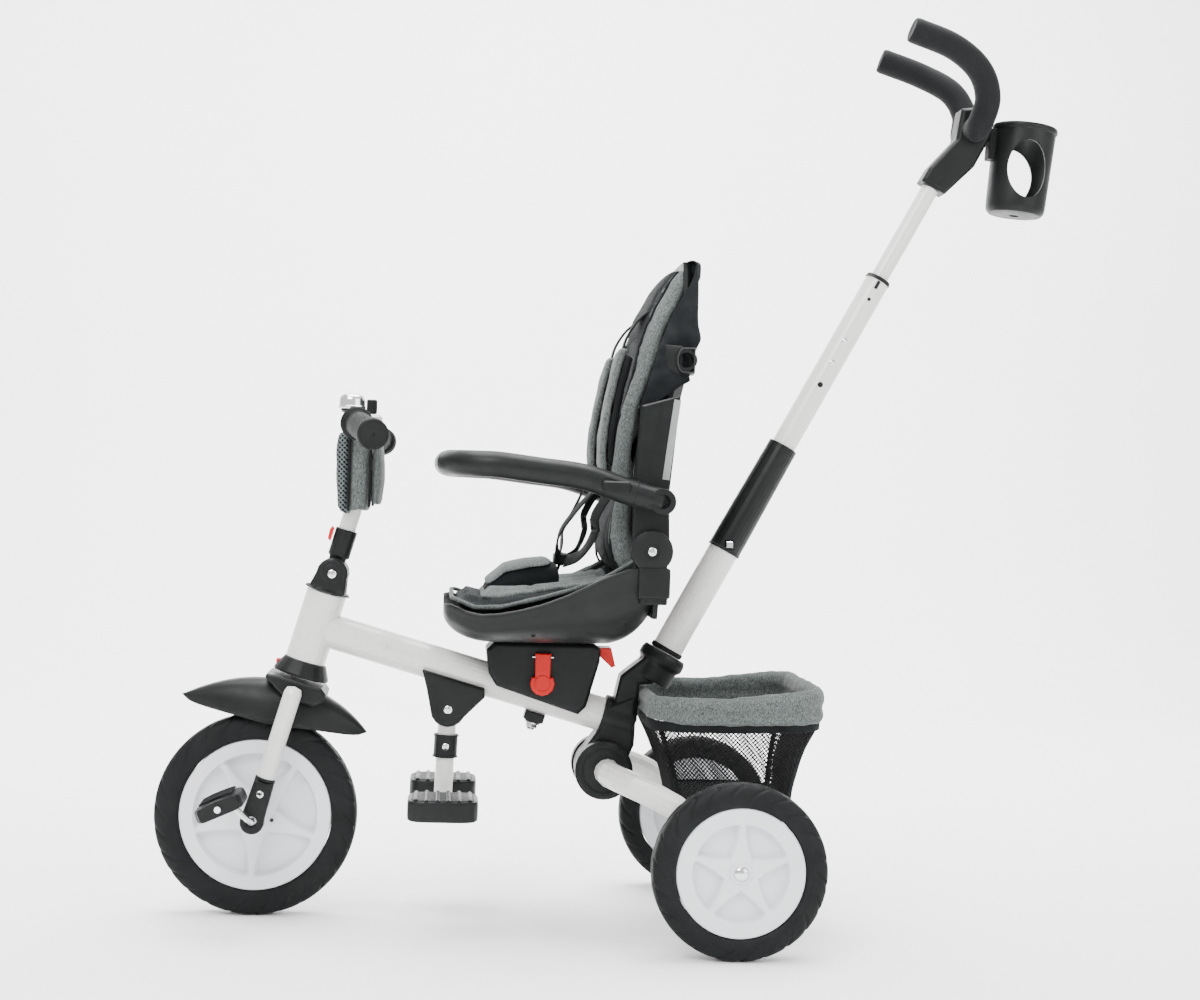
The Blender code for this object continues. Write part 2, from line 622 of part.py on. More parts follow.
# ---------------------------------------------------------------- frame
def make_frame(mats):
    root = axis_empty("frame_line", (0.0, 0.0, 0.0))
    main = rod("main_frame", main_point(-0.0800), main_point(MAIN_END), MAIN_RADIUS, mats["white"], root, 24)
    tube = rod("head_tube", head(HEAD_BOTTOM), head(HEAD_TOP), HEAD_RADIUS, mats["white"], root, 24)
    bore = rod("head_bore", head(HEAD_BOTTOM - 0.02), head(HEAD_TOP + 0.02), STEERER_BORE, mats["white"],
               root, 20)
    add(main, tube)
    cut(main, bore)
    top = HEAD_BOTTOM - GAP
    low = top - COLLAR_HEIGHT
    profile = [(STEERER_BORE, low), (COLLAR_RADIUS, low), (COLLAR_RADIUS, low + 0.003), (0.0275, top),
               (STEERER_BORE, top)]
    collar = turned("head_collar", profile, head(0.0), HEAD_UP, mats["black"], root, 24)
    pocket = block("clutch_pocket", head(low + 0.0085, 0.020) + Vector((0.0, -0.0070, -0.0045)),
                   head(low + 0.0085, 0.050) + Vector((0.0, 0.0070, 0.0045)), mats["black"], root)
    cut(collar, pocket)
    press = axis_empty("clutch_button_line", head(low + 0.0085, 0.030), root)
    block("clutch_button", head(low + 0.0085, 0.0225) + Vector((0.0, -0.0055, -0.0033)),
          head(low + 0.0085, 0.0345) + Vector((0.0, 0.0055, 0.0033)), mats["red"], press, bevel=0.001)
    make_housing(mats, root)
    make_seat_stop(mats, root)
    make_basket(mats, root)
    return root


def make_housing(mats, root):
    """The casting that joins the main tube, the push handle and the folding rear legs."""
    outer = MAIN_RADIUS + 0.0042
    start, end = main_point(MAIN_END + 0.036), main_point(MAIN_END - 0.004)
    shell = rod("rear_housing", start, end, outer, mats["black"], root, 28)
    web = [(FOLD_X + 0.030, FOLD_Z + 0.016), (-0.4345, main_point(-0.4345).z - 0.010),
           (-0.4370, main_point(-0.4370).z + 0.012), (-0.4780, 0.2900), (-0.4760, FOLD_Z + 0.030),
           (FOLD_X - 0.030, FOLD_Z + 0.010)]
    body = prism("housing_web", web, 0.0240, mats["black"], root, bevel=0.004)
    knuckle = rod("housing_knuckle", (FOLD_X, -0.0245, FOLD_Z), (FOLD_X, 0.0245, FOLD_Z), FOLD_RADIUS - 0.002,
                  mats["black"], root, 28)
    socket = rod("handle_socket", along_handle(-0.034), along_handle(0.004), LOWER_RADIUS + 0.0062,
                 mats["black"], root, 28)
    flange = turned("handle_flange", [(0.0, -0.012), (0.0275, -0.012), (0.0305, -0.008), (0.0305, 0.0),
                                      (0.0280, 0.006), (0.0,
                                                        0.006)], along_handle(0.0), HANDLE_UP, mats["black"], root, 28)
    bridge = [(-0.4450, 0.2600), (-0.4560, 0.3140), (-0.4880, 0.3400), (-0.5080, 0.3260), (-0.4980, 0.3040),
              (-0.4810, 0.3030), (-0.4790, 0.2550)]
    neck = prism("housing_bridge", bridge, 0.0200, mats["black"], root, bevel=0.003)
    add(shell, body, knuckle, socket, flange, neck)
    socket_bore = rod("handle_socket_bore", along_handle(-0.029), along_handle(0.03), LOWER_RADIUS + PLAY,
                      mats["black"], root, 24)
    tube_bore = rod("main_tube_bore", main_point(MAIN_END - 0.0005), main_point(MAIN_END + 0.10),
                    MAIN_RADIUS + GAP,
                    mats["black"], root, 24)
    pivot = rod("fold_bore", (FOLD_X, -0.05, FOLD_Z), (FOLD_X, 0.05, FOLD_Z), FOLD_PIN + PLAY, mats["black"],
                root, 20)
    cut(shell, socket_bore, tube_bore, pivot)


def make_seat_stop(mats, root):
    """The small stop bracket under the main tube, and its bolt."""
    outline = [main_point(-0.343, -MAIN_RADIUS - GAP), main_point(-0.343, -MAIN_RADIUS - 0.011),
               main_point(-0.350, -MAIN_RADIUS - 0.014), main_point(-0.361, -MAIN_RADIUS - 0.014),
               main_point(-0.368, -MAIN_RADIUS - 0.011), main_point(-0.368, -MAIN_RADIUS - GAP)]
    stop = prism("seat_stop", [(p.x, p.z) for p in outline], 0.0110, mats["black"], root, bevel=0.0015)
    at = main_point(-0.3555, -MAIN_RADIUS - 0.014 - GAP)
    down = (math.sin(MAIN_SLOPE), 0.0, -math.cos(MAIN_SLOPE))
    bolt = turned("seat_stop_bolt", [(0.0, -0.004), (0.0065, -0.004), (0.0065, 0.0055), (0.0050, 0.0075),
                                     (0.0, 0.0075)],
                  at, down, mats["steel"], root, 12)
    add(stop, bolt)


def basket_outline(grow, floor):
    """Corner points of the basket's plan at its rim (floor=0) or floor (floor=1)."""
    front = BASKET_FRONT + grow - 0.036 * floor
    rear = BASKET_REAR - grow + 0.024 * floor
    half = BASKET_HALF + grow - 0.028 * floor
    corner = 0.040
    points = []
    for cx, cy, start in ((front - corner, half - corner, 0.0), (rear + corner, half - corner, 90.0),
                          (rear + corner, -half + corner, 180.0), (front - corner, -half + corner, 270.0)):
        for x, y in arc((cx, cy), corner, start, start + 90.0, 4):
            points.append((x, y))
    return points


def basket_shell(levels):
    """A closed ring of walls, or a tray when its last level is a floor."""
    bm = bmesh.new()
    rings = []
    for grow, floor, z, tilt in levels:
        ring = []
        for x, y in basket_outline(grow, floor):
            rise = tilt * max(0.0, (BASKET_FRONT - x) / (BASKET_FRONT - BASKET_REAR) - 0.55) / 0.45
            ring.append(bm.verts.new((x, y, z + rise)))
        rings.append(ring)
    return bm, rings


def join_rings(bm, rings, wrap):
    pairs = list(zip(rings, rings[1:]))
    if wrap:
        pairs.append((rings[-1], rings[0]))
    for low, high in pairs:
        for i in range(len(low)):
            j = (i + 1) % len(low)
            bm.faces.new((low[i], low[j], high[j], high[i]))


def make_basket(mats, root):
    rim_z = BASKET_TOP - BASKET_BAND
    lift = 0.0140
    bm, rings = basket_shell([(0.0, 0.0, rim_z, 0.0), (0.0045, 0.0, rim_z + 0.006, 0.2 * lift),
                                            (0.0045, 0.0, BASKET_TOP - 0.006, lift), (0.0, 0.0, BASKET_TOP,
                                                                                      lift),
                                            (-0.0060, 0.0, BASKET_TOP - 0.006, lift),
                                            (-0.0060, 0.0, rim_z + 0.006, 0.2 * lift)])
    join_rings(bm, rings, True)
    finish("basket_rim", bm, mats["grey"], root)
    top = rim_z - GAP
    bm, rings = basket_shell([(-BASKET_WALL, 1.0, BASKET_FLOOR + BASKET_WALL, 0.0), (-BASKET_WALL, 0.0, top,
                                                                                     0.0),
                                            (0.0, 0.0, top, 0.0), (0.0, 1.0, BASKET_FLOOR, 0.0)])
    join_rings(bm, rings, False)
    bm.faces.new(rings[0])
    bm.faces.new(rings[-1])
    finish("basket_net", bm, mats["cloth"], root)


def make_rear_legs(mats, root):
    fold = axis_empty("rear_fold_line", (FOLD_X, 0.0, FOLD_Z), root)
    inner = 0.0245 + PLAY
    outer = inner + FOLD_DISC
    profile = [(0.0, -outer), (FOLD_RADIUS - 0.005, -outer), (FOLD_RADIUS, -outer + 0.004), (FOLD_RADIUS,
                                                                                             -inner),
               (FOLD_PIN, -inner), (FOLD_PIN, inner), (FOLD_RADIUS, inner), (FOLD_RADIUS, outer - 0.004),
               (FOLD_RADIUS - 0.005, outer), (0.0, outer)]
    turned("fold_hub", profile, (FOLD_X, 0.0, FOLD_Z), LEFT, mats["black"], fold, 28)
    axle_end = 0.5 * (REAR_TRACK + RIM_WIDTH)
    half = [Vector((FOLD_X - 0.004, outer + GAP, FOLD_Z)), Vector((FOLD_X - 0.004, 0.074, FOLD_Z)),
            Vector((-0.4700, 0.1240, 0.1880)), Vector((-0.5150, 0.1530, 0.1690)),
            Vector((-0.5580, REAR_LEG_Y - 0.004, 0.1340)), Vector((-WHEELBASE, REAR_LEG_Y, REAR_RADIUS))]
    for side, sign in (("left", 1.0), ("right", -1.0)):
        points = [Vector((p.x, sign * p.y, p.z)) for p in half]
        leg = swept("rear_leg_" + side, smooth_path(points, 2), circle(REAR_LEG_RADIUS, 12), mats["white"],
                    fold,
                    leaves=(0.0, sign, 0.0))
        boss = rod("leg_boss_" + side, (-WHEELBASE, sign * (REAR_LEG_Y - 0.017), REAR_RADIUS),
                   (-WHEELBASE, sign * (REAR_LEG_Y + 0.0165), REAR_RADIUS), 0.0185, mats["white"], fold, 20)
        stub = rod("leg_stub_" + side, (-WHEELBASE, sign * REAR_LEG_Y, REAR_RADIUS),
                   (-WHEELBASE, sign * axle_end, REAR_RADIUS), AXLE_RADIUS, mats["white"], fold, 12)
        add(leg, boss, stub)
    make_rear_wheels(mats, fold)


# ---------------------------------------------------------------- footrest
def make_footrest(mats, root):
    top = [main_point(-0.2060, -0.010), main_point(-0.2860, -0.010)]
    lower = arc((FOOT_PIVOT_X, FOOT_PIVOT_Z), 0.0225, -25.0, -155.0, 7)
    lower.reverse()
    outline = [(p.x, p.z) for p in top] + [(-0.2840, 0.2830)] + lower + [(-0.2100, 0.2920)]
    bracket = prism("footrest_bracket", outline, FOOT_HALF, mats["black"], root, bevel=0.003)
    clearance = rod("bracket_tube_bore", main_point(-0.12), main_point(-0.36), MAIN_RADIUS + GAP,
                    mats["black"], root, 24)
    slot = block("bracket_slot", (FOOT_PIVOT_X - 0.06, -0.0165, FOOT_PIVOT_Z - 0.05),
                 (FOOT_PIVOT_X + 0.06, 0.0165, FOOT_PIVOT_Z + 0.019), mats["black"], root)
    cut(bracket, clearance, slot)
    fold = axis_empty("footrest_line", (FOOT_PIVOT_X, 0.0, FOOT_PIVOT_Z), root)
    hub = rod("footrest_frame", (FOOT_PIVOT_X, -0.0155, FOOT_PIVOT_Z), (FOOT_PIVOT_X, 0.0155, FOOT_PIVOT_Z),
              0.0150,
              mats["white"], fold, 20)
    post_x = FOOT_PIVOT_X + 0.0030
    post = rod("footrest_post", (FOOT_PIVOT_X, 0.0, FOOT_PIVOT_Z), (post_x, 0.0, FOOT_BAR_Z), 0.0117,
               mats["white"], fold, 16)
    bar = rod("footrest_bar", (post_x, -PAD_Y - 0.030, FOOT_BAR_Z), (post_x, PAD_Y + 0.030, FOOT_BAR_Z),
              0.0075,
              mats["white"], fold, 14)
    add(hub, post, bar)
    profile = [(0.0117 + GAP, 0.0), (0.0150, 0.0), (0.0150, 0.028), (0.0117 + GAP, 0.028)]
    turned("footrest_sleeve", profile, (FOOT_PIVOT_X + 0.0018, 0.0, 0.2040), (-0.0030, 0.0, 0.1157),
           mats["black"], fold, 20)
    for side, sign in (("left", 1.0), ("right", -1.0)):
        line = axis_empty("foot_pad_line_" + side, (post_x, sign * PAD_Y, FOOT_BAR_Z), fold)
        low = Vector((post_x - 0.5 * PAD_LENGTH, sign * PAD_Y - 0.5 * PAD_WIDTH, FOOT_BAR_Z - 0.0110))
        high = Vector((post_x + 0.5 * PAD_LENGTH, sign * PAD_Y + 0.5 * PAD_WIDTH, FOOT_BAR_Z + 0.0185))
        pad = block("foot_pad_" + side, low, high, mats["black"], line, bevel=0.005)
        bore = rod("pad_bore_" + side, (post_x, sign * PAD_Y - 0.06, FOOT_BAR_Z), (post_x,
                                                                                   sign * PAD_Y + 0.06, FOOT_BAR_Z),
                   0.0075 + PLAY, mats["black"], line, 14)
        cut(pad, bore)


# ---------------------------------------------------------------- seat
def make_seat_base(mats, root):
    slide = axis_empty("seat_slide_line", main_point(-0.3470), root)
    saddle = main_point(SEAT_BASE_FRONT, 0.006), main_point(SEAT_BASE_REAR, 0.006)
    outline = [(SEAT_BASE_FRONT, SEAT_BASE_TOP - 0.010), (SEAT_BASE_FRONT - 0.004, saddle[0].z + 0.004),
               (SEAT_BASE_FRONT - 0.014, saddle[0].z - 0.012), (SEAT_BASE_REAR + 0.010, saddle[1].z - 0.010),
               (SEAT_BASE_REAR, saddle[1].z), (SEAT_BASE_REAR - 0.0160, 0.3330),
               (SEAT_BASE_REAR - 0.0160, SEAT_BASE_TOP - 0.005), (SEAT_BASE_REAR - 0.008, SEAT_BASE_TOP),
               (SEAT_BASE_FRONT - 0.010, SEAT_BASE_TOP)]
    base = prism("seat_base", outline, SEAT_BASE_HALF, mats["black"], slide, bevel=0.004)
    bore = rod("seat_base_bore", main_point(-0.20), main_point(-0.50), MAIN_RADIUS + 0.0008, mats["black"],
               slide, 24)
    gap_low = main_point(-0.20, -0.0600)
    opening = block("seat_base_mouth", (-0.52, -MAIN_RADIUS - 0.0008, gap_low.z - 0.12), (-0.16,
                                                                                          MAIN_RADIUS + 0.0008, MAIN_Z),
                    mats["black"], slide, turn=-MAIN_SLOPE, about=(MAIN_X, 0.0, MAIN_Z))
    cut(base, bore, opening)
    lever_y = SEAT_BASE_HALF + PLAY
    pivot = (-0.3550, lever_y, 0.3420)
    clamp = axis_empty("seat_clamp_line", pivot, slide)
    outline = [(-0.3450, 0.3420), (-0.3455, 0.3120), *arc((-0.3550, 0.3042), 0.0155, 30.0, -210.0, 9),
               (-0.3645, 0.3120), (-0.3650, 0.3420)]
    prism("seat_clamp_lever", outline, 0.0045, mats["red"], clamp, bevel=0.0012, offset=lever_y + 0.0045)
    release = axis_empty("seat_release_line", (-0.4290, 0.0, 0.3490), slide)
    outline = [(-0.4285, 0.3490), (-0.4285, 0.3380), (-0.4440, 0.3240), (-0.4490, 0.3260), (-0.4430, 0.3490)]
    prism("seat_release", outline, 0.0200, mats["red"], release, bevel=0.001)
    return slide


def seat_section(x):
    """Floor height and half width of the seat bucket at a place along it."""
    t = (x - SEAT_FRONT) / (SEAT_REAR - SEAT_FRONT)
    floor = 0.3570 + 0.034 * max(0.0, 1.0 - t / 0.18) ** 1.6 + 0.026 * max(0.0, (t - 0.88) / 0.12) ** 2
    half = SEAT_HALF_WIDTH * min(1.0, 0.80 + 1.4 * t)
    rim = 0.3950 + 0.060 * max(0.0, min(1.0, (t - 0.16) / 0.72)) ** 1.15
    return floor, half, rim


def make_seat(mats, slide):
    lift = axis_empty("seat_lift_line", (-0.3500, 0.0, SEAT_BASE_TOP), slide)
    bm = bmesh.new()
    steps = 10
    skins = []
    for wall in (0.0, SEAT_WALL):
        rows = []
        for i in range(steps + 1):
            x = SEAT_FRONT + (SEAT_REAR - SEAT_FRONT) * i / steps
            floor, half, rim = seat_section(x)
            x_here = x + (wall if i == steps else 0.0)
            low, side = floor + wall, half - wall
            row = [(-side, rim), (-side, 0.65 * rim + 0.35 * low), (-0.90 * side, 0.22 * rim + 0.78 * low),
                   (-0.72 * side, low + 0.004), (-0.45 * side, low), (0.0, low), (0.45 * side, low),
                   (0.72 * side, low + 0.004), (0.90 * side, 0.22 * rim + 0.78 * low),
                   (side, 0.65 * rim + 0.35 * low), (side, rim)]
            rows.append([bm.verts.new((x_here, y, z)) for y, z in row])
        skins.append(rows)
    outer, inner = skins
    for rows in skins:
        for low, high in zip(rows, rows[1:]):
            for a, b, c, d in zip(low, low[1:], high[1:], high):
                bm.faces.new((a, b, c, d))
    for edge in (0, -1):
        for (a, b), (c, d) in zip(zip(outer, outer[1:]), zip(inner, inner[1:])):
            bm.faces.new((a[edge], b[edge], d[edge], c[edge]))
        for (a, b), (c, d) in zip(zip(outer[edge], outer[edge][1:]), zip(inner[edge], inner[edge][1:])):
            bm.faces.new((a, b, d, c))
    shell = finish("seat_shell", bm, mats["black"], lift, smooth=50.0)
    rear_wall = block("seat_rear_wall", (SEAT_REAR - 0.0005, 0.0020 - SEAT_HALF_WIDTH, 0.3860),
                      (SEAT_REAR + 0.0075, SEAT_HALF_WIDTH - 0.0020, 0.4400),
                      mats["black"], lift)
    add(shell, rear_wall)
    for side, sign in (("left", 1.0), ("right", -1.0)):
        outline = [(-0.4640, 0.4340), (-0.4880, 0.4340), (-0.5000, 0.4400),
                   *arc((RECLINE_X, RECLINE_Z), RECLINE_RADIUS, 200.0, -20.0, 12), (-0.4490, 0.4420)]
        ear = prism("seat_ear_" + side, outline, COLUMN_HALF, mats["black"], lift, bevel=0.0015,
                    offset=sign * (SEAT_HALF_WIDTH - 0.0020))
        add(shell, ear)
    make_seat_cushion(mats, lift)
    make_back(mats, lift)


def make_seat_cushion(mats, lift):
    """The plain solid of the seat pad: it lies in the bucket and runs over its front lip."""
    front, rear = SEAT_FRONT - 0.012, -0.4580
    bm = bmesh.new()
    rows = []
    steps = 6
    for i in range(steps + 1):
        x = front + (rear - front) * i / steps
        floor, half, rim = seat_section(x)
        low = floor + SEAT_WALL + 0.0080
        side = 0.84 * half
        top = max(low + 0.022, 0.4050)
        rows.append([bm.verts.new(p) for p in ((x, -side, low + 0.012), (x, -0.60 * side, low), (x,
                                                                                                 0.60 * side, low),
                                               (x, side, low + 0.012), (x, side, top), (x, 0.0, top + 0.004),
                                               (x, -side, top))])
    join_rings(bm, rows, False)
    bm.faces.new(rows[0])
    bm.faces.new(rows[-1])
    finish("seat_cushion", bm, mats["grey"], lift)


def back_section(z):
    """Front and rear faces and half width of the back at a height."""
    t = (z - 0.4900) / (BACK_TOP - 0.4900)
    rear = -0.4790 - 0.0480 * min(1.0, t / 0.72) ** 1.3
    front = -0.4300 - 0.0920 * max(0.0, (t - 0.42) / 0.58) ** 1.5
    half = BACK_HALF_WIDTH * (1.0 - 0.30 * max(0.0, (t - 0.60) / 0.40) ** 1.6)
    return front, rear, half


def make_back(mats, lift):
    recline = axis_empty("recline_line", (RECLINE_X, 0.0, RECLINE_Z), lift)
    heights = [0.4900, 0.5300, 0.5900, 0.6500, 0.7000, 0.7500, 0.7950, 0.8230, BACK_TOP]
    shell_bm, pad_bm = bmesh.new(), bmesh.new()
    shell_rows, pad_rows = [], []
    for z in heights:
        front, rear, half = back_section(z)
        split = rear + 0.0170
        shell_rows.append([shell_bm.verts.new(p) for p in (
            (rear + 0.012, -half, z), (rear, -0.86 * half, z), (rear - 0.002, 0.0, z), (rear, 0.86 * half, z),
            (rear + 0.012, half, z), (split, half, z), (split, -half, z))])
        inner = split + 0.0015
        face = max(front, inner + 0.012)
        wing = face + 0.022 * (1.0 - max(0.0, (z - 0.74) / 0.10) ** 2 if z > 0.74 else 1.0)
        wing = max(wing, inner + 0.010)
        side = half - 0.006
        pad_rows.append([pad_bm.verts.new(p) for p in (
            (inner, -side, z), (inner, side, z), (0.4 * inner + 0.6 * wing, side, z), (wing, 0.86 * side, z),
            (face, 0.62 * side, z), (face, -0.62 * side, z), (wing, -0.86 * side, z),
            (0.4 * inner + 0.6 * wing, -side, z))])
    for bm, rows in ((shell_bm, shell_rows), (pad_bm, pad_rows)):
        join_rings(bm, rows, False)
        bm.faces.new(rows[0])
        bm.faces.new(rows[-1])
    shell = finish("back_shell", shell_bm, mats["black"], recline)
    finish("back_cushion", pad_bm, mats["grey"], recline)
    pivot_y = SEAT_HALF_WIDTH - 0.0020 - COLUMN_HALF - PLAY
    for side, sign in (("left", 1.0), ("right", -1.0)):
        rail = [*arc((RECLINE_X, RECLINE_Z), RECLINE_RADIUS - 0.003, 180.0, 360.0, 9),
                (BAR_PIVOT_X + 0.0320, BAR_PIVOT_Z + 0.020), (-0.4590, 0.6540), (-0.5060, 0.6680),
                (BAR_PIVOT_X - 0.0110, BAR_PIVOT_Z + 0.010)]
        column = prism("back_column_" + side, rail, 0.0110, mats["black"], recline, bevel=0.002,
                       offset=sign * (pivot_y - 0.0110))
        add(shell, column)
        at = Vector((-0.5118, sign * (BACK_HALF_WIDTH - 0.0055), 0.7110))
        out = Vector((0.0, sign, 0.0))
        socket = rod("canopy_socket_" + side, at, at + 0.0165 * out, 0.0135, mats["black"], recline, 16)
        hole = rod("canopy_hole_" + side, at + 0.0045 * out, at + 0.0325 * out, 0.0095,
                   mats["black"], recline, 16)
        add(shell, socket)
        cut(shell, hole)
    make_safety_bar(mats, recline, pivot_y)


def make_safety_bar(mats, recline, pivot_y):
    line = axis_empty("safety_bar_line", (BAR_PIVOT_X, 0.0, BAR_PIVOT_Z), recline)
    y = BUMPER_HALF_WIDTH
    corner = 0.062
    half = [Vector((BAR_PIVOT_X, y, BAR_PIVOT_Z)), Vector((-0.4400, y, 0.5500)), Vector((-0.3900, y, 0.5650)),
            Vector((-0.3380, y, 0.5710)), Vector((BUMPER_FRONT - corner, y, 0.5760))]
    for x, across in arc((BUMPER_FRONT - corner, y - corner), corner, 72.0, 0.0, 5):
        half.append(Vector((x, across, 0.5775)))
    middle = Vector((BUMPER_FRONT + 0.004, 0.0, 0.5780))
    mirrored = [Vector((p.x, -p.y, p.z)) for p in half]
    path = [*half, middle, *reversed(mirrored)]
    bar = swept("safety_bar", path, circle(BUMPER_RADIUS, 12), mats["black"], line)
    for side, sign in (("left", 1.0), ("right", -1.0)):
        boss = rod("bar_boss_" + side, (BAR_PIVOT_X, sign * (pivot_y + PLAY), BAR_PIVOT_Z),
                   (BAR_PIVOT_X, sign * (y + 0.0155), BAR_PIVOT_Z), 0.0158, mats["black"], line, 20)
        add(bar, boss)
        recess = block("bar_button_pocket_" + side, (-0.4460, sign * (y + 0.0150) - 0.0100, 0.5475),
                       (-0.4100, sign * (y + 0.0150) + 0.0100, 0.5625), mats["black"], line)
        cut(bar, recess)
        press = axis_empty("bar_button_line_" + side, (-0.4280, sign * y, 0.5550), line)
        block("bar_button_" + side, (-0.4448, sign * (y + 0.0130) - 0.0055, 0.5487),
              (-0.4112, sign * (y + 0.0130) + 0.0055, 0.5613), mats["black"], press, bevel=0.002)


# ---------------------------------------------------------------- push handle
def make_push_handle(mats, root):
    turn = axis_empty("handle_line", along_handle(0.0), root)
    profile = [(0.0, -0.028), (LOWER_RADIUS, -0.028), (LOWER_RADIUS, LOWER_LENGTH), (0.0, LOWER_LENGTH)]
    turned("handle_lower_tube", profile, along_handle(0.0), HANDLE_UP, mats["white"], turn, 24)
    start = LOWER_LENGTH + GAP
    profile = [(0.0, start), (SLEEVE_RADIUS, start), (SLEEVE_RADIUS, start + 0.02), (0.0195, SLEEVE_END),
               (MIDDLE_RADIUS + GAP, SLEEVE_END), (MIDDLE_RADIUS + GAP, start + 0.020), (0.0, start + 0.020)]
    sleeve = turned("handle_sleeve", profile, along_handle(0.0), HANDLE_UP, mats["black"], turn, 24)
    notch = block("sleeve_notch", along_handle(start + 0.009, 0.0, 0.0145) + Vector((-0.0060, 0.0, -0.0060)),
                  along_handle(start + 0.009, 0.0, 0.0300) + Vector((0.0060, 0.0,
                                                                     0.0060)), mats["black"], turn)
    cut(sleeve, notch)
    press = axis_empty("handle_button_line", along_handle(start + 0.009, 0.0, 0.0190), turn)
    block("handle_button", along_handle(start + 0.009, 0.0, 0.0160) + Vector((-0.0045, 0.0, -0.0045)),
          along_handle(start + 0.009, 0.0, 0.0240) + Vector((0.0045, 0.0,
                                                             0.0045)), mats["grip"], press, bevel=0.001)
    inner = UPPER_RADIUS + 0.0010
    middle = rod("handle_middle_tube", along_handle(start + 0.0205), along_handle(MIDDLE_END), MIDDLE_RADIUS,
                 mats["white"],
                 turn, 24, bore=inner)
    for i in range(1, 4):
        s = MIDDLE_END - 0.028 - 0.0300 - i * HOLE_PITCH
        hole = rod(f"height_hole_{i}", along_handle(s, 0.0, 0.0), along_handle(s, 0.0, 0.03), 0.0037,
                   mats["white"], turn, 10)
        cut(middle, hole)
    cap = [(inner, MIDDLE_END + GAP), (MIDDLE_RADIUS + 0.0012, MIDDLE_END + GAP), (MIDDLE_RADIUS,
                                                                                   MIDDLE_END + 0.005),
           (inner, MIDDLE_END + 0.005)]
    turned("handle_top_ring", cap, along_handle(0.0), HANDLE_UP, mats["black"], turn, 24)
    make_handle_top(mats, turn)


def make_handle_top(mats, turn):
    slide = axis_empty("handle_slide_line", along_handle(MIDDLE_END), turn)
    rod("handle_upper_tube", along_handle(0.4000), along_handle(UPPER_END), UPPER_RADIUS, mats["white"],
        slide, 20)
    low = UPPER_END + GAP
    outline = [along_handle(low, -0.0180), along_handle(low, 0.0170), along_handle(low + 0.020, 0.0170),
               Vector((-0.8700, 0.0, 1.0200)), Vector((-0.8760, 0.0, 1.0600)), Vector((-0.9080, 0.0, 1.0640)),
               Vector((HEAD_REAR, 0.0, 1.0250)), Vector((-0.8950, 0.0, 0.9850))]
    headpiece = prism("handle_head", [(p.x, p.z) for p in outline], 0.0190, mats["black"], slide, bevel=0.004)
    for side, sign in (("left", 1.0), ("right", -1.0)):
        points = [Vector((-0.8930, sign * 0.0194, 1.0320)), Vector((-0.8935, sign * 0.0400, 1.0350)),
                  Vector((-0.8985, sign * 0.0560, 1.0660)),
                  Vector((-0.8830, sign * 0.0690, 1.0980)), Vector((-0.8450, sign * 0.0840, 1.1220)),
                  Vector((-0.7920, sign * ARM_SPREAD, 1.1400))]
        swept("handle_grip_" + side, smooth_path(points, 2), circle(ARM_RADIUS, 12), mats["foam"], slide,
              leaves=(0.0, sign, 0.0))
    make_cup_holder(mats, slide)


def make_cup_holder(mats, slide):
    lean = math.radians(5.7)
    bottom = Vector((-0.9542, 0.0, 0.9260))
    up = Vector((-math.sin(lean), 0.0, math.cos(lean)))
    lower = CUP_RADIUS - 0.0033
    profile = [(0.0, 0.0), (lower - 0.004, 0.0), (lower, 0.004), (CUP_RADIUS - 0.001, CUP_HEIGHT - 0.008),
               (CUP_RADIUS, CUP_HEIGHT), (CUP_RADIUS - CUP_WALL, CUP_HEIGHT),
               (CUP_RADIUS - 0.001 - CUP_WALL, CUP_HEIGHT - 0.010), (lower - CUP_WALL,
                                                                     CUP_WALL + 0.003), (0.0, CUP_WALL)]
    cup = turned("cup_holder", profile, bottom, up, mats["black"], slide, 32)
    side = [(-0.9234, 1.0000), (-0.9262, 1.0350), (HEAD_REAR - GAP, 1.0350), (HEAD_REAR - GAP, 1.0000)]
    add(cup, prism("cup_bracket", side, 0.0100, mats["black"], slide))
    for side, sign in (("left", 1.0), ("right", -1.0)):
        oval = [(x, z) for x, z in circle(0.5, 16)]
        spots = [(bottom.x + up.x * 0.056 + 0.050 * x, bottom.z + 0.058 + 0.074 * z) for x, z in oval]
        window = prism("cup_window_" + side, spots, 0.025, mats["black"], slide, offset=sign * 0.045)
        cut(cup, window)


# ---------------------------------------------------------------- the assembly
def centre_on_floor():
    """Moves the model along X, so that its origin is under the middle of its box."""
    bpy.context.view_layer.update()
    graph = bpy.context.evaluated_depsgraph_get()
    spans = []
    for piece in bpy.data.objects:
        if piece.type != "MESH" or piece.hide_render:
            continue
        mesh = piece.evaluated_get(graph).to_mesh()
        spans += [(piece.matrix_world @ vert.co).x for vert in mesh.vertices]
    middle = 0.5 * (min(spans) + max(spans))
    for piece in bpy.data.objects:
        if piece.parent is None:
            piece.location.x -= middle
    bpy.context.view_layer.update()


def main():
    clear_scene()
    mats = make_materials()
    root = make_frame(mats)
    make_steering(mats, root)
    make_rear_legs(mats, root)
    make_footrest(mats, root)
    slide = make_seat_base(mats, root)
    make_seat(mats, slide)
    make_push_handle(mats, root)
    centre_on_floor()


main()
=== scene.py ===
"""The look of the push tricycle: materials, soft goods, small parts, light and camera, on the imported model.

Places given as x, y, z are measured with X = 0 at the front axle, as the maker's drawings have them,
and at() moves them to the shared frame.
"""

import math

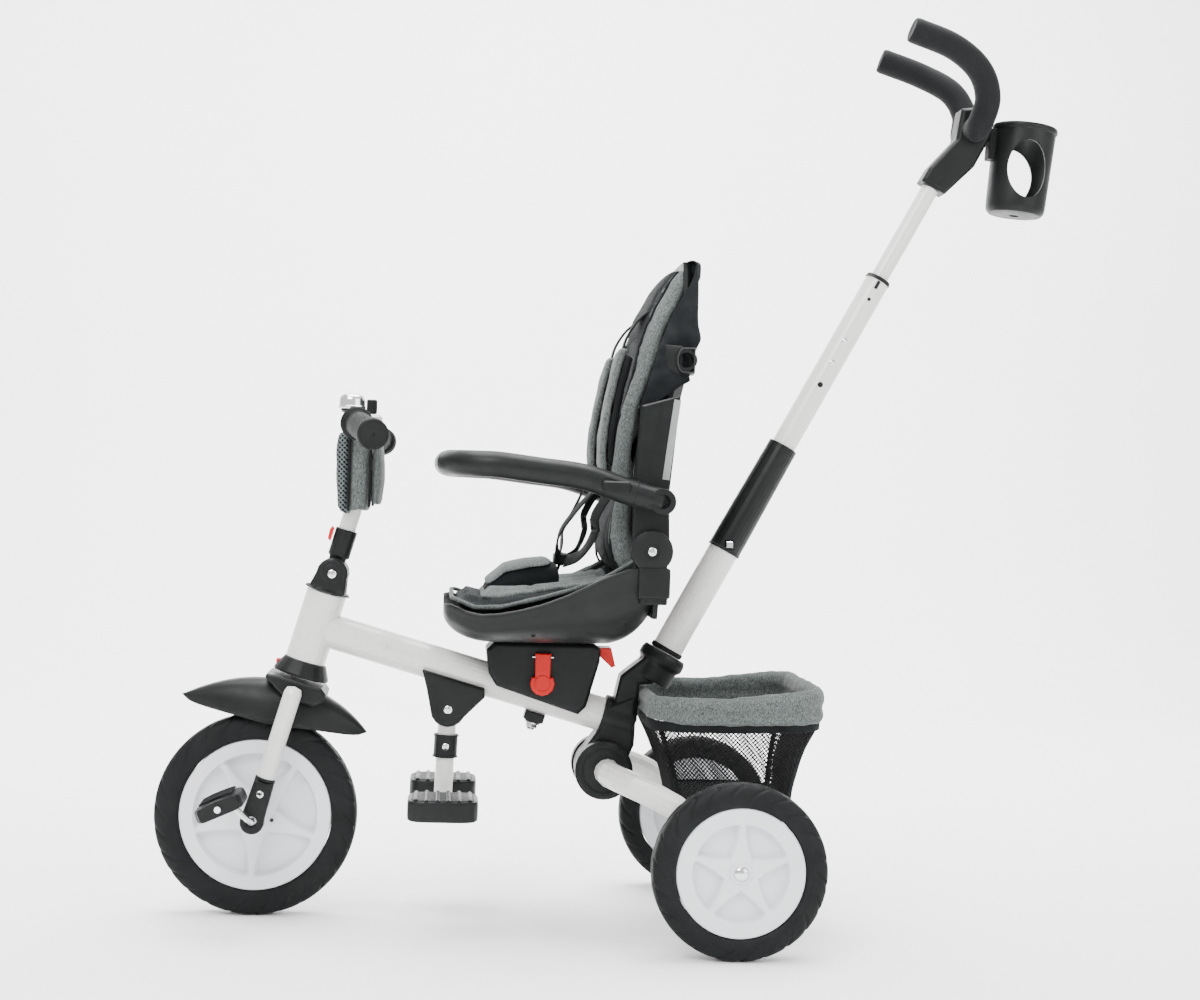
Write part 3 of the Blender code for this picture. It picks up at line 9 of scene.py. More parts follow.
import bmesh
import bpy
import numpy as np
from mathutils import Matrix, Vector, noise
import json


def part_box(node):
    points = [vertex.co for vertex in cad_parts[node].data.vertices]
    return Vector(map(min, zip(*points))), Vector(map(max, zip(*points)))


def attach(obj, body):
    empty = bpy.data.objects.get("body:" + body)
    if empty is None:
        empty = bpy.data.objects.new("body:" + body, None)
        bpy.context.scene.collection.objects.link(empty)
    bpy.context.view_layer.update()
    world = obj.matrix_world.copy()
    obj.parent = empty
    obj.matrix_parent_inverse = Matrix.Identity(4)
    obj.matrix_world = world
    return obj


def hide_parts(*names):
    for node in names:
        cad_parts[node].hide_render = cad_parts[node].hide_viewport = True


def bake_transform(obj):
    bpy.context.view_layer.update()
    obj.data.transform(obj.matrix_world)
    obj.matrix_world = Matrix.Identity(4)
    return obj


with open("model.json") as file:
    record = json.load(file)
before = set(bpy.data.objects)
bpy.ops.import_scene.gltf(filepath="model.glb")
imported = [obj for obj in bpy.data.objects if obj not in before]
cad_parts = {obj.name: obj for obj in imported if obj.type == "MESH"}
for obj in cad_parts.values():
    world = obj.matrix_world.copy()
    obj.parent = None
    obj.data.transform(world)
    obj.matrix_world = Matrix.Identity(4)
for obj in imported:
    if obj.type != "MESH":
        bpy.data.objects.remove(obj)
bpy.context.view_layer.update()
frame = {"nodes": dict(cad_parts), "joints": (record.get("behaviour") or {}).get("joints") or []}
NODES = frame["nodes"]
SEED = 7


def middle(node):
    low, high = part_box(node)
    return 0.5 * (low + high)


AXLE = middle("front_tyre")


def at(x, y, z):
    return Vector((x + AXLE.x, y, z))


def joint_place_of(name):
    """Where a joint's axis passes, in the row frame."""
    for joint in frame["joints"]:
        if joint["name"] == name:
            return Vector(joint["pos_m"])
    raise KeyError(name)


# ---------------------------------------------------------------- node helpers
def new_material(name):
    material = bpy.data.materials.new(name)
    material.use_nodes = True
    tree = material.node_tree
    return material, tree, tree.nodes["Principled BSDF"]


def link(tree, a, b):
    tree.links.new(a, b)


def coordinates(tree, scale=(1.0, 1.0, 1.0), turn=(0.0, 0.0, 0.0)):
    texture = tree.nodes.new("ShaderNodeTexCoord")
    mapping = tree.nodes.new("ShaderNodeMapping")
    mapping.inputs["Scale"].default_value = scale
    mapping.inputs["Rotation"].default_value = turn
    link(tree, texture.outputs["Object"], mapping.inputs["Vector"])
    return mapping.outputs["Vector"]


def noise_node(tree, vector, scale, detail=3.0, rough=0.55, distortion=0.0):
    node = tree.nodes.new("ShaderNodeTexNoise")
    node.inputs["Scale"].default_value = scale
    node.inputs["Detail"].default_value = detail
    node.inputs["Roughness"].default_value = rough
    node.inputs["Distortion"].default_value = distortion
    link(tree, vector, node.inputs["Vector"])
    return node.outputs["Fac"]


def wave_node(tree, vector, scale, direction="X", distortion=0.0):
    node = tree.nodes.new("ShaderNodeTexWave")
    node.bands_direction = direction
    node.inputs["Scale"].default_value = scale
    node.inputs["Distortion"].default_value = distortion
    link(tree, vector, node.inputs["Vector"])
    return node.outputs["Fac"]


def voronoi_node(tree, vector, scale, feature="F1"):
    node = tree.nodes.new("ShaderNodeTexVoronoi")
    node.feature = feature
    node.inputs["Scale"].default_value = scale
    link(tree, vector, node.inputs["Vector"])
    return node.outputs["Distance"]


def ramp(tree, value, stops):
    node = tree.nodes.new("ShaderNodeValToRGB")
    elements = node.color_ramp.elements
    while len(elements) < len(stops):
        elements.new(0.5)
    for element, (place, colour) in zip(elements, stops):
        element.position = place
        element.color = (*colour, 1.0)
    link(tree, value, node.inputs["Fac"])
    return node.outputs["Color"]


def span(tree, value, low, high, out_low, out_high):
    node = tree.nodes.new("ShaderNodeMapRange")
    for socket, number in (("From Min", low), ("From Max", high), ("To Min", out_low), ("To Max", out_high)):
        node.inputs[socket].default_value = number
    link(tree, value, node.inputs["Value"])
    return node.outputs["Result"]


def arithmetic(tree, operation, a, b):
    node = tree.nodes.new("ShaderNodeMath")
    node.operation = operation
    for socket, value in zip(node.inputs, (a, b)):
        if isinstance(value, (int, float)):
            socket.default_value = value
        else:
            link(tree, value, socket)
    return node.outputs["Value"]


def bump(tree, shader, height, strength, distance):
    node = tree.nodes.new("ShaderNodeBump")
    node.inputs["Strength"].default_value = strength
    node.inputs["Distance"].default_value = distance
    link(tree, height, node.inputs["Height"])
    link(tree, node.outputs["Normal"], shader.inputs["Normal"])


# ---------------------------------------------------------------- materials
def painted_metal():
    """Warm white powder coat: glossy, with the faint ripple of a sprayed surface."""
    material, tree, shader = new_material("painted_metal")
    vector = coordinates(tree)
    cloud = noise_node(tree, vector, 9.0)
    link(tree, ramp(tree, cloud, [(0.3, (0.57, 0.565, 0.548)), (0.7, (0.62, 0.615, 0.598))]),
         shader.inputs["Base Color"])
    link(tree, span(tree, noise_node(tree, vector, 60.0), 0.3, 0.7, 0.24, 0.34), shader.inputs["Roughness"])
    shader.inputs["Coat Weight"].default_value = 0.35
    shader.inputs["Coat Roughness"].default_value = 0.12
    bump(tree, shader, noise_node(tree, vector, 420.0, 2.0), 0.10, 0.0006)
    return material


def moulded(name, dark, light, rough, grain=1500.0, depth=0.22, coat=0.0, specular=0.5):
    """Injection-moulded plastic with a fine spark-eroded grain and uneven gloss."""
    material, tree, shader = new_material(name)
    vector = coordinates(tree)
    cloud = noise_node(tree, vector, 22.0, 4.0)
    link(tree, ramp(tree, cloud, [(0.3, dark), (0.72, light)]), shader.inputs["Base Color"])
    link(tree, span(tree, noise_node(tree, vector, 75.0, 4.0), 0.3, 0.7, rough - 0.06, rough + 0.08),
         shader.inputs["Roughness"])
    shader.inputs["Specular IOR Level"].default_value = specular
    shader.inputs["Coat Weight"].default_value = coat
    shader.inputs["Coat Roughness"].default_value = 0.2
    fine = noise_node(tree, vector, grain, 2.0)
    wide = noise_node(tree, vector, 160.0, 2.0)
    bump(tree, shader, arithmetic(tree, "ADD", fine, arithmetic(tree, "MULTIPLY", wide, 0.6)), depth, 0.0003)
    return material


def foam_rubber():
    """Foamed tyre rubber: matt, slightly mottled, with fine pits."""
    material, tree, shader = new_material("foam_rubber")
    vector = coordinates(tree)
    cloud = noise_node(tree, vector, 30.0, 5.0)
    link(tree, ramp(tree, cloud, [(0.3, (0.0045, 0.0050, 0.0053)), (0.75, (0.0085, 0.0092, 0.0096))]),
         shader.inputs["Base Color"])
    link(tree, span(tree, noise_node(tree, vector, 120.0, 4.0), 0.3, 0.7, 0.5, 0.66),
         shader.inputs["Roughness"])
    shader.inputs["Specular IOR Level"].default_value = 0.12
    pits = voronoi_node(tree, vector, 900.0)
    grain = noise_node(tree, vector, 600.0, 3.0)
    bump(tree, shader, arithmetic(tree, "ADD", pits, grain), 0.3, 0.0004)
    return material


def bright_metal():
    material, tree, shader = new_material("bright_metal")
    vector = coordinates(tree, (1.0, 1.0, 14.0))
    shader.inputs["Metallic"].default_value = 1.0
    streak = noise_node(tree, vector, 90.0, 4.0)
    link(tree, ramp(tree, streak, [(0.3, (0.62, 0.63, 0.64)), (0.7, (0.80, 0.80, 0.81))]),
         shader.inputs["Base Color"])
    link(tree, span(tree, streak, 0.3, 0.7, 0.10, 0.24), shader.inputs["Roughness"])
    bump(tree, shader, streak, 0.05, 0.0002)
    return material


def melange_cloth(name="melange_cloth", size=1.0, light=(0.150, 0.166, 0.160), deep=(0.022, 0.028, 0.0275)):
    """Grey melange weave: dark and pale fibres in slanting flecks, soft sheen."""
    material, tree, shader = new_material(name)
    slant = coordinates(tree, (1.0, 1.0, 0.45), (0.0, 0.6, 0.25))
    plain = coordinates(tree)
    fleck = noise_node(tree, slant, 760.0 * size, 3.0, 0.75)
    fine = noise_node(tree, plain, 1500.0 * size, 2.0, 0.7)
    blend = arithmetic(tree, "ADD", arithmetic(tree, "MULTIPLY", fleck, 0.72),
                       arithmetic(tree, "MULTIPLY", fine, 0.28))
    middle_tone = tuple(0.5 * (a + b) for a, b in zip(light, deep))
    speckled = ramp(tree, blend, [(0.38, deep), (0.50, middle_tone), (0.63, light)])
    cloud = noise_node(tree, plain, 12.0)
    shade = ramp(tree, cloud, [(0.3, (0.88, 0.88, 0.88)), (0.7, (1.0, 1.0, 1.0))])
    product = tree.nodes.new("ShaderNodeMix")
    product.data_type = "RGBA"
    product.blend_type = "MULTIPLY"
    product.inputs["Factor"].default_value = 1.0
    link(tree, speckled, product.inputs["A"])
    link(tree, shade, product.inputs["B"])
    link(tree, product.outputs["Result"], shader.inputs["Base Color"])
    shader.inputs["Roughness"].default_value = 0.88
    shader.inputs["Sheen Weight"].default_value = 0.10
    shader.inputs["Specular IOR Level"].default_value = 0.10
    shader.inputs["Sheen Roughness"].default_value = 0.5
    warp = wave_node(tree, plain, 260.0 * size, "X", 0.6)
    weft = wave_node(tree, plain, 260.0 * size, "Z", 0.6)
    weave = arithmetic(tree, "MULTIPLY", warp, weft)
    bump(tree, shader, arithmetic(tree, "ADD", arithmetic(tree, "MULTIPLY", weave, 0.6), blend), 0.55, 0.0009)
    return material


def dark_cloth(name, dark, light, weave=420.0, rough=0.82, creases=0.5):
    """Black polyester: fine weave, soft sheen and shallow puckers."""
    material, tree, shader = new_material(name)
    plain = coordinates(tree)
    cloud = noise_node(tree, plain, 35.0, 4.0)
    link(tree, ramp(tree, cloud, [(0.3, dark), (0.72, light)]), shader.inputs["Base Color"])
    link(tree, span(tree, noise_node(tree, plain, 200.0), 0.3, 0.7, rough - 0.06, rough + 0.06),
         shader.inputs["Roughness"])
    shader.inputs["Sheen Weight"].default_value = 0.04
    shader.inputs["Specular IOR Level"].default_value = 0.10
    shader.inputs["Sheen Roughness"].default_value = 0.45
    warp = wave_node(tree, plain, weave, "X")
    weft = wave_node(tree, plain, weave, "Z")
    cross = wave_node(tree, plain, weave, "Y")
    threads = arithmetic(tree, "ADD", arithmetic(tree, "MULTIPLY", warp, weft), cross)
    pucker = noise_node(tree, coordinates(tree, (1.0, 1.0, 0.5)), 55.0, 3.0, 0.5, 0.8)
    bump(tree, shader, arithmetic(tree, "ADD", arithmetic(tree, "MULTIPLY", threads, 0.25),
                                  arithmetic(tree, "MULTIPLY", pucker, 3.0 * creases)), 0.6, 0.0011)
    return material


def webbing():
    """Narrow woven strap: ribs across and a raised edge."""
    material, tree, shader = new_material("webbing")
    plain = coordinates(tree)
    ribs = wave_node(tree, plain, 300.0, "Z", 0.3)
    link(tree, ramp(tree, ribs, [(0.2, (0.0040, 0.0045, 0.0047)), (0.8, (0.0130, 0.0142, 0.0146))]),
         shader.inputs["Base Color"])
    link(tree, span(tree, noise_node(tree, plain, 300.0), 0.3, 0.7, 0.62, 0.78), shader.inputs["Roughness"])
    shader.inputs["Sheen Weight"].default_value = 0.04
    shader.inputs["Specular IOR Level"].default_value = 0.10
    bump(tree, shader, arithmetic(tree, "ADD", ribs, wave_node(tree, plain, 240.0, "X")), 0.5, 0.0006)
    return material


def pocket_mesh():
    """Open knit of the bag's front pocket: pale threads round dark holes."""
    material, tree, shader = new_material("pocket_mesh")
    slanted = coordinates(tree, (1.0, 1.0, 1.0), (0.0, math.radians(45.0), 0.0))
    a = wave_node(tree, slanted, 75.0, "X")
    b = wave_node(tree, slanted, 75.0, "Z")
    c = wave_node(tree, slanted, 75.0, "Y")
    holes = arithmetic(tree, "MULTIPLY", arithmetic(tree, "ADD", a, arithmetic(tree, "MULTIPLY", c, 0.4)), b)
    link(tree, ramp(tree, holes, [(0.10, (0.10, 0.115, 0.118)), (0.42, (0.030, 0.037, 0.038)),
                                  (0.62, (0.003, 0.0035, 0.0035))]),
         shader.inputs["Base Color"])
    shader.inputs["Roughness"].default_value = 0.85
    shader.inputs["Sheen Weight"].default_value = 0.04
    shader.inputs["Specular IOR Level"].default_value = 0.10
    bump(tree, shader, arithmetic(tree, "SUBTRACT", 1.0, holes), 0.7, 0.0012)
    return material


def handle_foam():
    """Soft closed-cell foam: matt black with tiny pale pores."""
    material, tree, shader = new_material("handle_foam")
    vector = coordinates(tree)
    pores = voronoi_node(tree, vector, 700.0)
    cloud = noise_node(tree, vector, 40.0, 4.0)
    tone = arithmetic(tree, "ADD", arithmetic(tree, "MULTIPLY", pores, 0.35),
                      arithmetic(tree, "MULTIPLY", cloud, 0.65))
    link(tree, ramp(tree, tone, [(0.3, (0.0050, 0.0055, 0.0060)), (0.75, (0.0105, 0.0112, 0.0120))]),
         shader.inputs["Base Color"])
    link(tree, span(tree, cloud, 0.3, 0.7, 0.62, 0.76), shader.inputs["Roughness"])
    shader.inputs["Sheen Weight"].default_value = 0.04
    shader.inputs["Specular IOR Level"].default_value = 0.10
    bump(tree, shader, pores, 0.35, 0.0005)
    return material


MAT = {
    "paint": painted_metal(),
    "black": moulded("satin_black", (0.0052, 0.0060, 0.0060), (0.0085, 0.0096, 0.0096), 0.40, specular=0.16),
    "dull": moulded("dull_black", (0.0060, 0.0066, 0.0066), (0.0100, 0.0108, 0.0108), 0.55, 1100.0, 0.3,
                    specular=0.12),
    "grey": moulded("tread_grey", (0.012, 0.0128, 0.013), (0.020, 0.0215, 0.022), 0.6, 900.0, 0.3,
                    specular=0.3),
    "rim": moulded("rim_white", (0.60, 0.615, 0.64), (0.66, 0.675, 0.70), 0.36, 1200.0, 0.10, 0.1),
    "red": moulded("signal_red", (0.40, 0.003, 0.002), (0.48, 0.005, 0.004), 0.33, 1400.0, 0.12, 0.0,
                   specular=0.25),
    "rubber": foam_rubber(),
    "steel": bright_metal(),
    "melange": melange_cloth(),
    "cloth": dark_cloth("black_cloth", (0.0050, 0.0062, 0.0070), (0.0100, 0.0118, 0.0128)),
    "lining": dark_cloth("lining_cloth", (0.0040, 0.0047, 0.0052), (0.0080, 0.0092, 0.0100), 300.0, 0.9,
                         0.25),
    "webbing": webbing(),
    "mesh": pocket_mesh(),
    "foam": handle_foam(),
    "strip": moulded("strip_grey", (0.17, 0.18, 0.18), (0.22, 0.23, 0.23), 0.36),
    "thread": dark_cloth("net_thread", (0.0030, 0.0034, 0.0034), (0.0070, 0.0076, 0.0076), 900.0, 0.7, 0.0),
}


# ---------------------------------------------------------------- mesh helpers
def smooth_curve(points, count):
    """Points evenly spaced on a curve through the given ones."""
    given = np.array([tuple(p) for p in points], float)
    padded = np.vstack([2 * given[0] - given[1], given, 2 * given[-1] - given[-2]])
    dense = []
    for i in range(1, len(padded) - 2):
        a, b, c, d = padded[i - 1:i + 3]
        for t in np.linspace(0.0, 1.0, 24, endpoint=False):
            dense.append(0.5 * (2 * b + (c - a) * t + (2 * a - 5 * b + 4 * c - d) * t ** 2 + (3 * b - a - 3 * c + d) * t ** 3))
    dense.append(padded[-2])
    dense = np.array(dense)
    steps = np.r_[0.0, np.cumsum(np.linalg.norm(np.diff(dense, axis=0), axis=1))]
    wanted = np.linspace(0.0, steps[-1], count)
    return np.stack([np.interp(wanted, steps, dense[:, k]) for k in range(dense.shape[1])], axis=1)


def grid_faces(rows, columns, wrap_rows, wrap_columns):
    faces = []
    for i in range(rows if wrap_rows else rows - 1):
        for j in range(columns if wrap_columns else columns - 1):
            a, b = i * columns + j, i * columns + (j + 1) % columns
            c, d = ((i + 1) % rows) * columns + (j + 1) % columns, ((i + 1) % rows) * columns + j
            faces.append((a, b, c, d))
    return faces


def piece(name, verts, faces, material, body, sharp=None):
    """A mesh object of its own that rides on a body."""
    mesh = bpy.data.meshes.new(name)
    mesh.from_pydata([tuple(v) for v in verts], [], [tuple(f) for f in faces])
    bm = bmesh.new()
    bm.from_mesh(mesh)
    bmesh.ops.remove_doubles(bm, verts=bm.verts, dist=1e-6)
    bmesh.ops.recalc_face_normals(bm, faces=bm.faces)
    for face in bm.faces:
        face.smooth = True
    if sharp is not None:
        for edge in bm.edges:
            if len(edge.link_faces) == 2 and edge.calc_face_angle(0.0) > math.radians(sharp):
                edge.smooth = False
    bm.to_mesh(mesh)
    bm.free()
    obj = bpy.data.objects.new(name, mesh)
    bpy.context.scene.collection.objects.link(obj)
    mesh.materials.append(MAT[material])
    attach(obj, body)
    return obj


def surface(name, points, material, body, wrap_rows=False, wrap_columns=True, caps=True, sharp=None):
    """A piece from an array of points, rows by columns, closed at its ends when caps is set."""
    points = np.asarray(points, float)
    rows, columns = points.shape[:2]
    faces = grid_faces(rows, columns, wrap_rows, wrap_columns)
    if caps and not wrap_rows:
        faces += [tuple(range(columns)), tuple(range((rows - 1) * columns, rows * columns))]
    return piece(name, points.reshape(-1, 3), faces, material, body, sharp)


def basis(axis, hint=(0.0, 0.0, 1.0)):
    axis = Vector(axis).normalized()
    hint = Vector(hint)
    if abs(axis.dot(hint.normalized())) > 0.95:
        hint = Vector((1.0, 0.0, 0.0))
    side = axis.cross(hint).normalized()
    return axis, side, side.cross(axis).normalized()


def ring(centre, u, v, radius, sides, phase=0.0):
    angles = np.linspace(0.0, 2.0 * math.pi, sides, endpoint=False) + phase
    return np.array(centre)[None] + radius * (np.cos(angles)[:, None] * np.array(u)[None] + np.sin(angles)[:,
                                                                                                           None] * np.array(v)[None])


def lathe(name, profile, centre, axis, material, body, sides=64, sharp=30.0, caps=True):
    """profile is (radius, height) pairs about an axis."""
    axis, u, v = basis(axis)
    rows = [ring(Vector(centre) + axis * height, u, v, max(radius, 1e-5), sides) for radius,
            height in profile]
    return surface(name, rows, material, body, caps=caps, sharp=sharp)


def carried(path):
    """Sideways and upward directions along a path, without twist."""
    path = np.asarray(path, float)
    tangents = np.gradient(path, axis=0)
    tangents /= np.linalg.norm(tangents, axis=1)[:, None]
    side = np.array(basis(tangents[0])[1])
    sides = []
    for tangent in tangents:
        side = side - tangent * side.dot(tangent)
        side /= np.linalg.norm(side)
        sides.append(side.copy())
    sides = np.array(sides)
    return tangents, sides, np.cross(tangents, sides)


def sweep(name, path, radius, material, body, sides=24, rounded=0.0, squash=1.0, ripple=None):
    """A tube along a path; rounded is the length over which its ends close in."""
    path = np.asarray(path, float)
    tangents, us, vs = carried(path)
    lengths = np.r_[0.0, np.cumsum(np.linalg.norm(np.diff(path, axis=0), axis=1))]
    rows = []
    if rounded > 0.0:
        for k in range(6):
            a = 0.5 * math.pi * k / 6
            rows.append(ring(path[0] - tangents[0] * rounded * math.cos(a), us[0], vs[0] * squash,
                             radius * max(math.sin(a), 0.02), sides))
    for i, point in enumerate(path):
        here = radius * (ripple(lengths[i] / lengths[-1]) if ripple else 1.0)
        rows.append(ring(point, us[i], vs[i] * squash, here, sides))
    if rounded > 0.0:
        for k in range(5, -1, -1):
            a = 0.5 * math.pi * k / 6
            rows.append(ring(path[-1] + tangents[-1] * rounded * math.cos(a), us[-1], vs[-1] * squash,
                             radius * max(math.sin(a), 0.02), sides))
    return surface(name, rows, material, body, sharp=50.0)


def ribbon(name, path, widths, normal, thick, material, body, twist=None):
    """A flat strap: widths at each point, facing the normal given."""
    path = np.asarray(path, float)
    tangents = np.gradient(path, axis=0)
    tangents /= np.linalg.norm(tangents, axis=1)[:, None]
    rows = []
    for i, point in enumerate(path):
        facing = np.array(normal, float) if twist is None else np.array(twist(i / (len(path) - 1)), float)
        facing = facing - tangents[i] * facing.dot(tangents[i])
        facing /= np.linalg.norm(facing)
        across = np.cross(tangents[i], facing)
        half = 0.5 * (widths if isinstance(widths, float) else widths(i / (len(path) - 1)))
        edge = 0.32 * thick
        section = [(-half, -edge), (-half + edge, -0.5 * thick), (half - edge, -0.5 * thick), (half, -edge),
                   (half, edge),
                   (half - edge, 0.5 * thick), (-half + edge, 0.5 * thick), (-half, edge)]
        rows.append([point + across * a + facing * b for a, b in section])
    return surface(name, rows, material, body, sharp=40.0)


def pillow(name, low, high, material, body, power=0.42, bulge=0.0, cells=26, wrinkle=0.0):
    """A stuffed box: rounded all over, with faces that crown outwards."""
    low, high = Vector(low), Vector(high)
    centre, half = 0.5 * (low + high), 0.5 * (high - low)
    bm = bmesh.new()
    bmesh.ops.create_cube(bm, size=2.0)
    bmesh.ops.subdivide_edges(bm, edges=bm.edges, cuts=cells, use_grid_fill=True)
    for vert in bm.verts:
        q = vert.co.normalized()
        shaped = [math.copysign(abs(c) ** power, c) for c in q]
        point = Vector([c * h for c, h in zip(shaped, half)])
        crown = 1.0 + bulge * (1.0 - max(abs(c) for c in q)) if bulge else 1.0
        ripple = wrinkle * noise.noise(Vector(point) * 45.0 + Vector((SEED, 0.0, 0.0)))
        vert.co = centre + point * crown + vert.co.normalized() * ripple
    obj = from_bmesh(name, bm, material, body)
    return obj


def from_bmesh(name, bm, material, body, sharp=None):
    verts = [v.co.copy() for v in bm.verts]
    bm.verts.index_update()
    faces = [[v.index for v in f.verts] for f in bm.faces]
    bm.free()
    return piece(name, verts, faces, material, body, sharp)


def screw(name, centre, axis, radius, body, rise=0.0018, recess=True):
    """A pan-head screw with a cross recess."""
    axis, u, v = basis(axis)
    rows = []
    steps = 14
    for i in range(steps + 1):
        r = radius * (1.0 - i / steps)
        row = []
        for k in range(48):
            a = 2.0 * math.pi * k / 48
            x, y = r * math.cos(a), r * math.sin(a)
            height = rise * math.sqrt(max(0.0, 1.0 - 0.75 * (r / radius) ** 2))
            if recess and r < 0.62 * radius and min(abs(x), abs(y)) < 0.16 * radius:
                height -= 0.8 * rise
            row.append(Vector(centre) + u * x + v * y + axis * height)
        rows.append(row)
    base = [Vector(centre) + (u * math.cos(2.0 * math.pi * k / 48) + v * math.sin(2.0 * math.pi * k / 48)) * radius - axis * 0.001
            for k in range(48)]
    return surface(name, [base, *rows], "steel", body, sharp=35.0)


def dot(name, centre, axis, radius, material, body, rise=0.0006):
    """A small plug, rivet or hole cover."""
    return lathe(name, [(radius, -0.0006), (radius, 0.5 * rise), (0.8 * radius, rise), (0.0, rise)], centre,
                 axis, material, body, 24)


def wobble(obj, amount, scale, seed=0.0, keep=None):
    """Pushes points in and out along their normals, for the unevenness of sewn cloth."""
    mesh = obj.data
    for vert in mesh.vertices:
        weight = 1.0 if keep is None else keep(vert.co)
        vert.co += vert.normal * amount * weight * noise.noise(vert.co * scale + Vector((seed, SEED, 0.0)))


def inflate(obj, voxel=0.005, pressure=4.0, cap=0.008):
    """Fills the pad by a short cloth run, and limits how far any point moves."""
    remesh = obj.modifiers.new("Remesh", "REMESH")
    remesh.mode = "VOXEL"
    remesh.voxel_size = voxel
    bake(obj)
    start = np.array([v.co[:] for v in obj.data.vertices])
    cloth = obj.modifiers.new("Cloth", "CLOTH")
    cloth.settings.use_pressure = True
    cloth.settings.uniform_pressure_force = pressure
    cloth.settings.effector_weights.gravity = 0.0
    cloth.settings.tension_stiffness = 12.0
    cloth.settings.bending_stiffness = 0.6
    for number in range(1, 21):
        bpy.context.scene.frame_set(number)
    bake(obj)
    bpy.context.scene.frame_set(1)
    moved = np.array([v.co[:] for v in obj.data.vertices])
    shift = moved - start
    length = np.linalg.norm(shift, axis=1)
    scale = np.minimum(1.0, cap / np.maximum(length, 1e-9))
    final = start + shift * scale[:, None]
    obj.data.vertices.foreach_set("co", final.ravel())
    for polygon in obj.data.polygons:
        polygon.use_smooth = True
    obj.data.update()


def bake(obj):
    """Makes the modifiers' result the object's own mesh."""
    graph = bpy.context.evaluated_depsgraph_get()
    graph.update()
    result = bpy.data.meshes.new_from_object(obj.evaluated_get(graph), depsgraph=graph)
    obj.modifiers.clear()
    old = obj.data
    obj.data = result
    bpy.data.meshes.remove(old)


def bend(obj):
    """Freezes a soft piece where it stands: bakes its modifiers and placing into its mesh and takes it off its body."""
    bake(obj)
    place = obj.matrix_world.copy()
    obj.parent = None
    obj.matrix_world = place
    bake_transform(obj)


def subdivide(obj, levels=1):
    modifier = obj.modifiers.new("Subdivision", "SUBSURF")
    modifier.levels = levels
    modifier.render_levels = levels


def cut_out(obj, tool):
    """Takes the tool's shape out of the object."""
    modifier = obj.modifiers.new("Cut", "BOOLEAN")
    modifier.operation = "DIFFERENCE"
    modifier.solver = "EXACT"
    modifier.object = tool
    bake(obj)
    bpy.data.objects.remove(tool)


# ---------------------------------------------------------------- the carried-over metal and plastic
def soften(node, voxel, rounds=6):
    """Rounds a casting's edges a little, as a mould does."""
    obj = NODES[node]
    remesh = obj.modifiers.new("Remesh", "REMESH")
    remesh.mode = "VOXEL"
    remesh.voxel_size = voxel
    remesh.use_smooth_shade = True
    smooth = obj.modifiers.new("Smooth", "SMOOTH")
    smooth.factor = 0.5
    smooth.iterations = rounds


def dress(material, *names):
    for name in names:
        data = NODES[name].data
        if not data.materials:
            data.materials.append(MAT[material])
        for index in range(len(data.materials)):
            data.materials[index] = MAT[material]


def dress_frame():
    dress("paint", "main_frame", "fork_leg_left", "fork_leg_right", "rear_leg_left", "rear_leg_right",
          "footrest_frame",
          "stem_and_bar", "handle_lower_tube", "handle_middle_tube", "handle_upper_tube")
    dress("black", "head_collar", "rear_housing", "seat_stop", "crown_cover", "fork_end_left",
          "fork_end_right", "upper_yoke",
          "stem_socket", "fold_hub", "footrest_bracket", "footrest_sleeve", "seat_base", "bar_button_left", "bar_button_right",
          "handle_sleeve", "handle_head", "handle_top_ring", "pedal_left", "pedal_right", "bell_lever", "foot_pad_left",
          "foot_pad_right", "back_shell")
    dress("steel", "steerer_tube", "crank_axle", "handle_button")
    dress("red", "stem_lever", "clutch_button", "seat_clamp_lever", "seat_release")
    for node in ("rear_housing", "seat_base", "footrest_bracket", "upper_yoke", "stem_socket", "crown_cover",
                 "handle_head",
                 "fork_end_left", "fork_end_right", "head_collar"):
        soften(node, 0.0011)


# ---------------------------------------------------------------- wheels
def step(x, low, high):
    t = min(1.0, max(0.0, (x - low) / (high - low)))
    return t * t * (3.0 - 2.0 * t)


